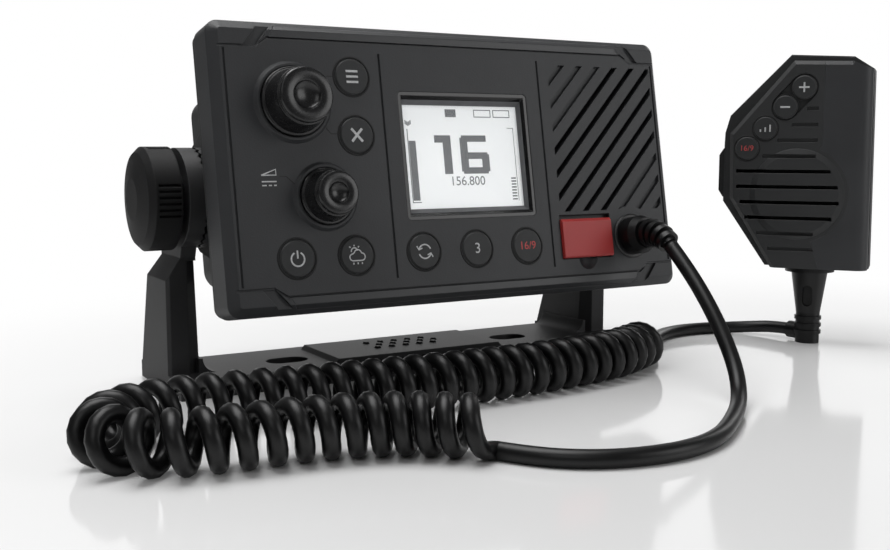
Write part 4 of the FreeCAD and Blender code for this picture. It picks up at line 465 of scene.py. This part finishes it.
def key_shade_ring(name, radius, home, across, up, depth, body):
    """Black rubber ring round one key, from the hole's wall out over the face, standing in for the shade
    round it.
    """
    steps = [(radius + 0.06, -0.6), (radius + 0.06, 0.05), (radius + 0.14, 0.17), (radius + 0.35, 0.22),
             (radius + 0.58, 0.16), (radius + 0.72, 0.02), (radius + 0.72, -0.02)]
    shade_ring = turned_piece(name, steps, SHADE_RING_SIDES, open_ring=True)
    return settle(shade_ring, home, across / 1000, up / 1000, depth / 1000, body, SEAL_AND_SHADE_RUBBER)


KEY_PLACES = {"menu_key": (-41.9, 28.9), "cancel_key": (-41.9, 9.9), "power_key": (-65.9, -28.8),
              "weather_key": (-45.5, -28.8), "scan_key": (-20.8, -28.8), "channel_3_key": (-0.2, -28.8),
              "channel_16_key": (20.4, -28.8)}
MIC_KEY_PLACES = {"mic_up_key": (-6.2, 107.1), "mic_down_key": (-13.4, 99.2), "mic_power_key": (-21.0, 90.6),
                  "mic_channel_key": (-28.2, 82.4)}
KEY_RADIUS = 6.0
MIC_KEY_RADIUS = 4.8
MIC_FRONT = -16.0
MIC_RECESS = 0.45           # the up and down keys stand in a shallow recess
for key, (across, up) in KEY_PLACES.items():
    key_shade_ring(key + "_shade_ring", KEY_RADIUS, HEAD_FRAME, across, up, 0, "head")
for key, (across, up) in MIC_KEY_PLACES.items():
    sunk = MIC_RECESS if key in ("mic_up_key", "mic_down_key") else 0
    key_shade_ring(key + "_shade_ring", MIC_KEY_RADIUS, HANDSET_FRAME, across, up, MIC_FRONT + sunk, "handset")


# ---------------------------------------------------------------- step between the microphone's shells
# The rear shell stands wider than the front one on the left and top, and a moulded step closes the gap
# between them: the same dark ASA, with an eased front edge.
STEP_THICKNESS = 0.0009
STEP_EDGE = 0.0003
STEP_DEPTH = -0.00602
STEP_OUTLINE = [(-17.6, 33.3), (-34.95, 61.45), (-35.55, 88.55), (-10.55, 118.15), (11.85, 117.35),
                (19.65, 114.1), (19.4, 114.3), (11.9, 119.2), (-12.4, 120.6), (-36.4, 96.05),
                (-38.4, 89.0), (-38.6, 84.0), (-38.6, 60.1), (-20.6, 33.3)]
step_corners = [(x / 1000, y / 1000, 0) for x, y in STEP_OUTLINE]
step_mesh = bpy.data.meshes.new("mic_shell_step")
step_mesh.from_pydata(step_corners, [], [tuple(range(len(step_corners)))])
shell_step = bpy.data.objects.new("mic_shell_step", step_mesh)
bpy.context.scene.collection.objects.link(shell_step)
bpy.ops.object.select_all(action="DESELECT")
bpy.context.view_layer.objects.active = shell_step
shell_step.select_set(True)
bpy.ops.object.mode_set(mode="EDIT")
bpy.ops.mesh.select_all(action="SELECT")
bpy.ops.mesh.extrude_region_move(TRANSFORM_OT_translate={"value": (0, 0, STEP_THICKNESS)})
bpy.ops.mesh.select_all(action="SELECT")
bpy.ops.mesh.normals_make_consistent(inside=False)
bpy.ops.object.mode_set(mode="OBJECT")
eased = shell_step.modifiers.new("eased", "BEVEL")
eased.width = STEP_EDGE
eased.segments = 2
eased.limit_method = "ANGLE"
bpy.ops.object.modifier_apply(modifier="eased")
settle(shell_step, HANDSET_FRAME, 0, 0, STEP_DEPTH, "handset", CASE_ASA)


# ---------------------------------------------------------------- distress cover and key
# Spring flap moulded in red polycarbonate, translucent enough to glow a little at its edges, over a red key.
# It turns on a steel pin, which is held in the bezel.
def red_polycarbonate():
    """Tinted polycarbonate under a matt coat, IOR 1.5: brick red through its thickness, fine grain on top."""
    made, tree, out = blank_material("red_polycarbonate")
    place = put(tree, "ShaderNodeTexCoord").outputs["Object"]
    grain = put(tree, "ShaderNodeTexNoise", {"Vector": place}, Scale=1600.0, Detail=2.0).outputs["Fac"]
    drift = put(tree, "ShaderNodeTexNoise", {"Vector": place}, Scale=80.0, Detail=2.0).outputs["Fac"]
    tone = put(tree, "ShaderNodeValToRGB", {"Fac": drift}, ramp=((0.3, "#a5302f"), (0.8, "#ae3433")))
    eased = put(tree, "ShaderNodeBevel", samples=6, Radius=0.0004)
    bump = put(tree, "ShaderNodeBump", {"Height": grain, "Normal": eased.outputs["Normal"]},
               Strength=0.2, Distance=0.0001)
    shader = put(tree, "ShaderNodeBsdfPrincipled", {"Base Color": tone.outputs["Color"],
                 "Normal": bump.outputs["Normal"]}, Roughness=0.46, IOR=1.5, Subsurface_Weight=0.05,
                 Subsurface_Scale=0.001)
    tree.links.new(shader.outputs["BSDF"], out.inputs["Surface"])
    return made


RED_PC = red_polycarbonate()
dress(RED_PC, "distress_cover", "distress_key")


# ---------------------------------------------------------------- metal parts
# Zinc-plated steel studs, washers, shafts and screws, brass inserts and a nickel-plated socket: turned parts,
# with a little smear on them. The nylon sockets and plungers behind the case go with them.
TOOL_RINGS = 4000.0


def turned_metal(name, colour, roughness):
    """Turned and plated metal: fine tool rings, drawn about 0.25 mm apart so that they show."""
    made, tree, out = blank_material(name)
    place = put(tree, "ShaderNodeTexCoord").outputs["Object"]
    rings = put(tree, "ShaderNodeTexNoise", {"Vector": place}, Scale=TOOL_RINGS, Detail=3.0).outputs["Fac"]
    smear = put(tree, "ShaderNodeTexNoise", {"Vector": place}, Scale=150.0, Detail=3.0).outputs["Fac"]
    tone = put(tree, "ShaderNodeValToRGB", {"Fac": smear}, ramp=((0.3, colour[0]), (0.75, colour[1])))
    rough = put(tree, "ShaderNodeMapRange", {"Value": smear}, To_Min=roughness - 0.05, To_Max=roughness + 0.1)
    bump = put(tree, "ShaderNodeBump", {"Height": rings}, Strength=0.1, Distance=0.0001)
    shader = put(tree, "ShaderNodeBsdfPrincipled", {"Base Color": tone.outputs["Color"],
                 "Roughness": rough.outputs["Result"], "Normal": bump.outputs["Normal"]}, Metallic=1.0)
    tree.links.new(shader.outputs["BSDF"], out.inputs["Surface"])
    return made


ZINC_STEEL = turned_metal("zinc_plated_steel", ("#a9abae", "#bfc1c3"), 0.30)
BRASS = turned_metal("turned_brass", ("#b18f4c", "#c4a25c"), 0.28)
NICKEL = turned_metal("nickel_plated_brass", ("#b9b6ae", "#cdcbc4"), 0.22)
dress(ZINC_STEEL, "left_knob_stud", "right_knob_stud", "left_knob_washer", "right_knob_washer",
      "channel_shaft", "volume_shaft", "distress_hinge_pin", "case_screws", "mic_screws", "mic_hang_button",
      "encoder_cans", "speaker_frame")
dress(BRASS, "thread_inserts")
dress(NICKEL, "antenna_socket")
dress(KNOB_NYLON, "network_socket", "power_gland", "channel_plunger", "volume_plunger")


# ---------------------------------------------------------------- boards, loudspeakers and cloth
# Hidden inside: glass-epoxy boards under green solder mask, paper cones, and black acoustic cloth behind the
# grille's slots.
def plain_sheet(name, colour, roughness, scale):
    """Board, paper or cloth: two tones in a fine mottle at the material's own scale."""
    made, tree, out = blank_material(name)
    place = put(tree, "ShaderNodeTexCoord").outputs["Object"]
    mottle = put(tree, "ShaderNodeTexNoise", {"Vector": place}, Scale=scale, Detail=4.0).outputs["Fac"]
    tone = put(tree, "ShaderNodeValToRGB", {"Fac": mottle}, ramp=((0.35, colour[0]), (0.7, colour[1])))
    bump = put(tree, "ShaderNodeBump", {"Height": mottle}, Strength=0.3, Distance=0.0001)
    shader = put(tree, "ShaderNodeBsdfPrincipled", {"Base Color": tone.outputs["Color"],
                 "Normal": bump.outputs["Normal"]}, Roughness=roughness)
    tree.links.new(shader.outputs["BSDF"], out.inputs["Surface"])
    return made


dress(plain_sheet("green_solder_mask", ("#1d5a35", "#24683f"), 0.35, 400.0), "front_board", "main_board")
dress(plain_sheet("black_cone_paper", ("#1a1a1a", "#262626"), 0.85, 900.0), "speaker_cone", "mic_speaker")
dress(plain_sheet("black_acoustic_cloth", ("#0b0b0b", "#161616"), 0.95, 2500.0), "speaker_cloth")


# ---------------------------------------------------------------- display
# Liquid-crystal display behind a clear hard-coated polycarbonate window. Dark segments on a pale ground: the
# channel number in big figures, its frequency under it, and small plain signs round them.
WHITE = linear("#ffffff")


def lens_clear():
    """Clear polycarbonate with an anti-glare coat, IOR 1.2 for the coat, and a trace of wiping haze."""
    made, tree, out = blank_material("clear_hard_coated_polycarbonate")
    place = put(tree, "ShaderNodeTexCoord").outputs["Object"]
    haze = put(tree, "ShaderNodeTexNoise", {"Vector": place}, Scale=120.0, Detail=3.0).outputs["Fac"]
    rough = put(tree, "ShaderNodeMapRange", {"Value": haze}, To_Min=0.02, To_Max=0.06)
    shader = put(tree, "ShaderNodeBsdfPrincipled", {"Roughness": rough.outputs["Result"]},
                 Base_Color=WHITE, IOR=1.2, Transmission_Weight=1.0)
    tree.links.new(shader.outputs["BSDF"], out.inputs["Surface"])
    return made


def with_painted_glow(name, colour, glow, scale):
    """Display ground or segment: its own colour and a painted glow of that colour, faintly uneven."""
    made, tree, out = blank_material(name)
    place = put(tree, "ShaderNodeTexCoord").outputs["Object"]
    drift = put(tree, "ShaderNodeTexNoise", {"Vector": place}, Scale=scale, Detail=2.0).outputs["Fac"]
    tone = put(tree, "ShaderNodeValToRGB", {"Fac": drift}, ramp=((0.2, colour[0]), (0.8, colour[1])))
    shader = put(tree, "ShaderNodeBsdfPrincipled", {"Base Color": tone.outputs["Color"],
                 "Emission Color": tone.outputs["Color"]}, Roughness=0.5, Emission_Strength=glow)
    tree.links.new(shader.outputs["BSDF"], out.inputs["Surface"])
    return made


# ground and segments carry a painted glow, which makes up for the light that the glass window holds back
LCD_GROUND = with_painted_glow("lcd_ground", ("#d4d6d7", "#dee0e0"), 0.36, 40.0)
LCD_SEGMENT = with_painted_glow("lcd_segment", ("#4c4e50", "#585a5c"), 0.50, 60.0)
SCREEN_UP = 0.0032
SEGMENT_DEPTH = 0.00379     # segments lie on the panel's front, sunk into it by a hair
SEGMENT_FILM = 0.00004


def printed_bars(name, bars, thickness):
    """Rectangles (x0, y0, x1, y1 in mm) of one thickness (m), joined in one mesh, drawn flat."""
    bpy.ops.object.select_all(action="DESELECT")
    made = []
    for x0, y0, x1, y1 in bars:
        bpy.ops.mesh.primitive_cube_add(size=1, location=((x0 + x1) / 2000, (y0 + y1) / 2000, thickness / 2),
                                        scale=((x1 - x0) / 1000, (y1 - y0) / 1000, thickness))
        bpy.ops.object.transform_apply(location=True, rotation=True, scale=True)
        made.append(bpy.context.object)
    for piece in made:
        piece.select_set(True)
    bpy.context.view_layer.objects.active = made[0]
    bpy.ops.object.join()
    joined = bpy.context.object
    joined.name = name
    return joined


def lettered(name, text, size, thickness):
    """Figures as a thin mesh, drawn flat round their own middle. Size in mm, thickness in m."""
    bpy.ops.object.select_all(action="DESELECT")
    bpy.ops.object.text_add(location=(0, 0, 0))
    piece = bpy.context.object
    piece.data.body = text
    piece.data.size = size / 1000
    piece.data.align_x = "CENTER"
    piece.data.align_y = "CENTER"
    piece.data.extrude = thickness / 2
    piece.data.resolution_u = 6
    bpy.ops.object.convert(target="MESH")
    piece = bpy.context.object
    piece.name = name
    piece.data.transform(Matrix.Translation((0, 0, thickness / 2)))
    return piece


dress(lens_clear(), "window_lens")
dress(LCD_GROUND, "display_panel")
figures = printed_bars("screen_figures", [
    (-7.9, -5.8, -4.7, 7.5), (-11.1, 5.0, -7.9, 7.5),
    (-1.1, -5.0, 1.9, 6.7), (-0.4, 6.7, 1.9, 7.5), (1.9, 5.3, 9.6, 7.5),
    (1.9, -0.7, 7.4, 1.6), (7.4, 0.9, 9.8, 1.6), (7.4, -3.6, 10.4, 0.9), (9.7, -5.0, 10.4, -3.6),
    (-0.4, -5.8, 1.9, -5.0), (1.9, -5.8, 9.7, -3.6)], SEGMENT_FILM)
settle(figures, HEAD_FRAME, 0, SCREEN_UP, SEGMENT_DEPTH, "head", LCD_SEGMENT)
# a block, two frames, the level bar in its corner, a bracket with eight steps, and a small aerial
scales = printed_bars("screen_scales", [
    (-6.0, 13.8, -1.7, 16.5), (-21.0, -14.6, -18.4, 5.6), (-21.4, -15.4, -21.1, 9.6),
    (-21.4, -15.4, -18.0, -15.1), (18.8, 10.0, 21.4, 10.2), (21.2, -15.6, 21.4, 10.2)]
    + [(x, y, x + 7.0, y + 0.3) for x in (5.5, 13.4) for y in (13.8, 16.2)]
    + [(x, 13.8, x + 0.3, 16.5) for x in (5.5, 12.2, 13.4, 20.1)]
    + [(18.8, -15.2 + 1.05 * i, 20.8, -14.7 + 1.05 * i) for i in range(8)]
    + [(-21.9 + 0.4 * i, 11.2 - 0.25 * i, -21.6 + 0.4 * i, 12.6 - 0.25 * i) for i in range(3)]
    + [(-20.7 + 0.4 * i, 10.7 + 0.25 * i, -20.4 + 0.4 * i, 12.1 + 0.25 * i) for i in range(3)], SEGMENT_FILM)
settle(scales, HEAD_FRAME, 0, SCREEN_UP, SEGMENT_DEPTH, "head", LCD_SEGMENT)
frequency = lettered("screen_frequency", "156.800", 4.4, SEGMENT_FILM)
settle(frequency, HEAD_FRAME, 0.0009, SCREEN_UP - 0.0084, SEGMENT_DEPTH, "head", LCD_SEGMENT)


# ---------------------------------------------------------------- display gasket
# Grey foam-rubber gasket on the lower part of the frame's bevel, which hides the edge of the glass. In mm.
SCREEN_SIZE = (45.6, 35.2)
GASKET_REACH = (0.95, 1.5)
GASKET_FOOT = -3.0
GASKET_RIM = -1.45
GASKET_WALL = 0.1
GASKET_RUBBER = silicone("grey_gasket_rubber", ("#5a5b5d", "#666769"), 0.6)
bpy.ops.object.select_all(action="DESELECT")
bpy.ops.mesh.primitive_plane_add(size=1, location=(0, 0, GASKET_FOOT / 1000))
gasket = bpy.context.object
gasket.name = "display_gasket"
gasket.scale = (SCREEN_SIZE[0] / 1000, SCREEN_SIZE[1] / 1000, 1)
bpy.ops.object.transform_apply(location=True, rotation=True, scale=True)
widening = [1 + 2 * reach / side for reach, side in zip(GASKET_REACH, SCREEN_SIZE)]
bpy.ops.object.mode_set(mode="EDIT")
bpy.ops.mesh.select_all(action="SELECT")
bpy.ops.mesh.delete(type="ONLY_FACE")
bpy.ops.mesh.select_all(action="SELECT")
rise = (GASKET_RIM - GASKET_FOOT) / 1000
bpy.ops.mesh.extrude_edges_move(TRANSFORM_OT_translate={"value": (0, 0, rise)})
bpy.ops.transform.resize(value=(widening[0], widening[1], 1), center_override=(0, 0, GASKET_RIM / 1000))
bpy.ops.mesh.select_all(action="SELECT")
bpy.ops.mesh.normals_make_consistent(inside=True)
bpy.ops.object.mode_set(mode="OBJECT")
wall = gasket.modifiers.new("wall", "SOLIDIFY")
wall.thickness = GASKET_WALL / 1000
wall.offset = 1
bpy.ops.object.modifier_apply(modifier="wall")
settle(gasket, HEAD_FRAME, 0, SCREEN_UP, 0, "head", GASKET_RUBBER)


# ---------------------------------------------------------------- printed signs
# Signs of the keys and beside the volume knob: white and red pad-printing ink, about 0.03 mm thick. The lines
# that lead from the knobs to their keys are engraved in the face and blackened.
def pad_ink(name, colour):
    """Pad-printing ink: flat, slightly chalky, broken a little by the grain under it."""
    made, tree, out = blank_material(name)
    place = put(tree, "ShaderNodeTexCoord").outputs["Object"]
    grain = put(tree, "ShaderNodeTexNoise", {"Vector": place}, Scale=2200.0, Detail=2.0).outputs["Fac"]
    tone = put(tree, "ShaderNodeValToRGB", {"Fac": grain}, ramp=((0.3, colour[0]), (0.6, colour[1])))
    shader = put(tree, "ShaderNodeBsdfPrincipled", {"Base Color": tone.outputs["Color"]},
                 Roughness=0.6, IOR=1.5)
    tree.links.new(shader.outputs["BSDF"], out.inputs["Surface"])
    return made


WHITE_INK = pad_ink("white_pad_ink", ("#b4b5b6", "#c9cacb"))
RED_INK = pad_ink("red_pad_ink", ("#b04443", "#c04c4a"))
ENGRAVED = pad_ink("blackened_engraving", ("#151516", "#1c1c1d"))
INK = 0.00003               # thickness, in metres


def inked(name, strokes, width):
    """Strokes of ink of one width, drawn flat. Each stroke is a list of (x, y), all in mm."""
    curve = bpy.data.curves.new(name, "CURVE")
    curve.dimensions = "3D"
    curve.bevel_depth = width / 2000
    curve.bevel_resolution = 2
    curve.use_fill_caps = True
    for stroke in strokes:
        spline = curve.splines.new("POLY")
        spline.points.add(len(stroke) - 1)
        for i, (x, y) in enumerate(stroke):
            spline.points[i].co = (x / 1000, y / 1000, 0, 1)
    holder = bpy.data.objects.new(name + "_strokes", curve)
    bpy.context.scene.collection.objects.link(holder)
    bpy.context.view_layer.update()
    shown = holder.evaluated_get(bpy.context.evaluated_depsgraph_get())
    mesh = bpy.data.meshes.new_from_object(shown)
    bpy.data.objects.remove(holder)
    mesh.name = name
    flat = INK * 2000 / width
    for v in mesh.vertices:
        v.co.z = v.co.z * flat
    piece = bpy.data.objects.new(name, mesh)
    bpy.context.scene.collection.objects.link(piece)
    return piece


def arc(cx, cy, radius, start, end, count):
    """Points round a centre, from one angle to another, in degrees."""
    turns = [math.radians(start + (end - start) * i / count) for i in range(count + 1)]
    return [(cx + radius * math.cos(turn), cy + radius * math.sin(turn)) for turn in turns]


KEY_FACE = -0.0005
cloud = arc(-1.6, -0.6, 1.1, 90, 270, 8) + arc(1.5, -0.5, 1.2, -90, 90, 8) + arc(0.2, 0.5, 1.3, 20, 160, 8)
sun_rays = [[(-0.9, 2.9), (-0.9, 3.4)], [(-2.2, 2.5), (-2.6, 2.9)], [(0.4, 2.5), (0.8, 2.9)]]
rain = [[(x, -2.3), (x, -2.9)] for x in (-1.5, 0, 1.5)]
SIGNS = {
    "menu_key": ([[(-2.1, y), (2.1, y)] for y in (-1.75, 0, 1.75)], 0.75),
    "cancel_key": ([[(-1.9, -2.1), (1.9, 2.1)], [(-1.9, 2.1), (1.9, -2.1)]], 0.85),
    "power_key": ([arc(0, -0.2, 2.2, 118, 422, 24), [(0, 0.0), (0, 2.5)]], 0.55),
    "weather_key": ([cloud + [(-1.6, 0.5)], arc(-0.9, 1.3, 1.15, 10, 190, 10)] + sun_rays + rain, 0.42),
    "scan_key": ([arc(0, 0, 2.3, 20, 160, 12), arc(0, 0, 2.3, 200, 340, 12),
                  [(-2.9, 1.9), (-2.2, 0.6), (-0.9, 1.2)], [(2.9, -1.9), (2.2, -0.6), (0.9, -1.2)]], 0.5),
}
for key, (strokes, width) in SIGNS.items():
    across, up = KEY_PLACES[key]
    sign = inked(key + "_sign", strokes, width)
    settle(sign, HEAD_FRAME, across / 1000, up / 1000, KEY_FACE, key + "_cap", WHITE_INK)
three = lettered("channel_3_key_sign", "3", 5.0, INK)
settle(three, HEAD_FRAME, -0.0002, -0.0288, KEY_FACE, "channel_3_key_cap", WHITE_INK)
sixteen = lettered("channel_16_key_sign", "16/9", 3.9, INK)
settle(sixteen, HEAD_FRAME, 0.0204, -0.0288, KEY_FACE, "channel_16_key_cap", RED_INK)
leaders = inked("leader_lines", [[(-53.6, 26.6), (-50.4, 28.9), (-48.3, 28.9)],
                                 [(-53.6, 13.9), (-50.8, 10.4), (-48.3, 10.4)],
                                 [(-69.4, -3.0), (-67.3, -3.0), (-64.3, -5.8)]], 0.35)
settle(leaders, HEAD_FRAME, 0, 0, 0, "head", ENGRAVED)
wedge = inked("volume_sign", [[(-75.4, -2.6), (-70.6, -2.6), (-70.6, -0.8), (-75.4, -2.6)],
                              [(-75.4, -5.8), (-73.9, -5.8)], [(-73.2, -5.8), (-72.2, -5.8)],
                              [(-71.5, -5.8), (-70.6, -5.8)], [(-75.4, -4.6), (-70.6, -4.6)]], 0.42)
settle(wedge, HEAD_FRAME, 0, 0, 0, "head", WHITE_INK)

MIC_KEY_FACE = -0.0166
MIC_SIGNS = {
    "mic_up_key": ([[(-2.0, 0), (2.0, 0)], [(0, -2.0), (0, 2.0)]], 0.7),
    "mic_down_key": ([[(-1.9, 0), (1.9, 0)]], 0.7),
    "mic_power_key": ([[(-1.9, -1.4), (-1.9, -0.4)], [(0, -1.4), (0, 0.4)], [(1.9, -1.4), (1.9, 1.5)]], 0.6),
}
for key, (strokes, width) in MIC_SIGNS.items():
    across, up = MIC_KEY_PLACES[key]
    sign = inked(key + "_sign", strokes, width)
    settle(sign, HANDSET_FRAME, across / 1000, up / 1000, MIC_KEY_FACE, key + "_cap", WHITE_INK)
mic_sixteen = lettered("mic_channel_key_sign", "16/9", 3.2, INK)
settle(mic_sixteen, HANDSET_FRAME, -0.0282, 0.0824, MIC_KEY_FACE, "mic_channel_key_cap", RED_INK)


# ---------------------------------------------------------------- studio
# Glossy white board that runs out to plain white, one large soft lamp overhead and a little behind, a soft
# box at the right front, a weak fill at the left and a narrow lamp at the right that draws the edges. The
# room in front is dim, so the black fronts stay dark, and glossy surfaces mirror only the wall behind.
def seen_directly(tree, mirrored):
    """1 for rays that show the background itself. Mirrored says how much of it a glossy surface shows."""
    path = put(tree, "ShaderNodeLightPath")
    clear = put(tree, "ShaderNodeMath", operation="MAXIMUM")
    tree.links.new(path.outputs["Is Camera Ray"], clear.inputs[0])
    tree.links.new(path.outputs["Is Transmission Ray"], clear.inputs[1])
    gloss = put(tree, "ShaderNodeMath", operation="MULTIPLY")
    tree.links.new(path.outputs["Is Glossy Ray"], gloss.inputs[0])
    tree.links.new(mirrored, gloss.inputs[1])
    both = put(tree, "ShaderNodeMath", operation="MAXIMUM")
    tree.links.new(clear.outputs["Value"], both.inputs[0])
    tree.links.new(gloss.outputs["Value"], both.inputs[1])
    return both.outputs["Value"]


BOARD_MIDDLE = (0.07, -0.07, 0)
BOARD_FADE = (0.16, 0.36)
BOARD_MIRRORED = 0.2
BACKDROP_WAY = (0.50, 0.86, 0.10)
BACKDROP_FADE = (0.78, 0.90)


def studio_floor():
    """Glossy white board. It keeps the object's shadow and reflection, and fades to plain white."""
    made, tree, out = blank_material("white_studio_board")
    place = put(tree, "ShaderNodeTexCoord").outputs["Object"]
    drift = put(tree, "ShaderNodeTexNoise", {"Vector": place}, Scale=3.0, Detail=2.0).outputs["Fac"]
    tone = put(tree, "ShaderNodeValToRGB", {"Fac": drift}, ramp=((0.3, "#f0f0f0"), (0.8, "#f4f4f4")))
    board = put(tree, "ShaderNodeBsdfPrincipled", {"Base Color": tone.outputs["Color"]},
                Roughness=0.09, IOR=1.5)
    middle = put(tree, "ShaderNodeVectorMath", {"Vector": place}, operation="SUBTRACT")
    middle.inputs[1].default_value = BOARD_MIDDLE
    reach = put(tree, "ShaderNodeVectorMath", {"Vector": middle.outputs["Vector"]}, operation="LENGTH")
    fade = put(tree, "ShaderNodeMapRange", {"Value": reach.outputs["Value"]},
               interpolation_type="SMOOTHSTEP", From_Min=BOARD_FADE[0], From_Max=BOARD_FADE[1])
    white = put(tree, "ShaderNodeEmission", Color=WHITE, Strength=1.0)
    mirrored = put(tree, "ShaderNodeValue")
    mirrored.outputs[0].default_value = BOARD_MIRRORED
    share = put(tree, "ShaderNodeMath", operation="MULTIPLY")
    tree.links.new(fade.outputs["Result"], share.inputs[0])
    tree.links.new(seen_directly(tree, mirrored.outputs[0]), share.inputs[1])
    mixed = put(tree, "ShaderNodeMixShader", {"Fac": share.outputs["Value"]})
    tree.links.new(board.outputs["BSDF"], mixed.inputs[1])
    tree.links.new(white.outputs["Emission"], mixed.inputs[2])
    tree.links.new(mixed.outputs["Shader"], out.inputs["Surface"])
    return made


bpy.ops.object.select_all(action="DESELECT")
bpy.ops.mesh.primitive_plane_add(size=8, location=(0, 0, 0))
floor = bpy.context.object
floor.name = "studio_floor"
floor.data.materials.append(studio_floor())

world = bpy.data.worlds.new("studio_air")
bpy.context.scene.world = world
world.use_nodes = True
air = world.node_tree
air.nodes.clear()
way = put(air, "ShaderNodeTexCoord")
facing = put(air, "ShaderNodeVectorMath", {"Vector": way.outputs["Generated"]}, operation="DOT_PRODUCT")
facing.inputs[1].default_value = BACKDROP_WAY
backdrop = put(air, "ShaderNodeMapRange", {"Value": facing.outputs["Value"]},
               interpolation_type="SMOOTHSTEP", From_Min=BACKDROP_FADE[0], From_Max=BACKDROP_FADE[1])
dim = put(air, "ShaderNodeBackground", Color=WHITE, Strength=0.12)
bright = put(air, "ShaderNodeBackground", Color=WHITE, Strength=1.0)
pick = put(air, "ShaderNodeMixShader", {"Fac": seen_directly(air, backdrop.outputs["Result"])})
air.links.new(dim.outputs["Background"], pick.inputs[1])
air.links.new(bright.outputs["Background"], pick.inputs[2])
air_out = put(air, "ShaderNodeOutputWorld")
air.links.new(pick.outputs["Shader"], air_out.inputs["Surface"])


def lamp(name, place, aim, width, height, power):
    """Soft rectangular lamp aimed at a point. Power in watts."""
    data = bpy.data.lights.new(name, "AREA")
    data.shape = "RECTANGLE"
    data.size = width
    data.size_y = height
    data.energy = power
    made = bpy.data.objects.new(name, data)
    bpy.context.scene.collection.objects.link(made)
    made.location = place
    made.rotation_mode = "QUATERNION"
    made.rotation_quaternion = (Vector(aim) - Vector(place)).to_track_quat("-Z", "Y")
    return made


lamp("top_lamp", (-0.15, 0.12, 1.0), (0, -0.02, 0.05), 0.9, 0.7, 9.5)
lamp("right_lamp", (0.80, -0.95, 0.45), (0.03, -0.05, 0.07), 0.7, 0.7, 3.4)
lamp("left_fill", (-0.8, -0.9, 0.9), (0, -0.05, 0.06), 0.7, 0.7, 1.8)
lamp("edge_lamp", (0.95, 0.30, 0.42), (0, -0.06, 0.03), 0.25, 0.5, 1.2)
bpy.context.scene.view_settings.view_transform = "Standard"
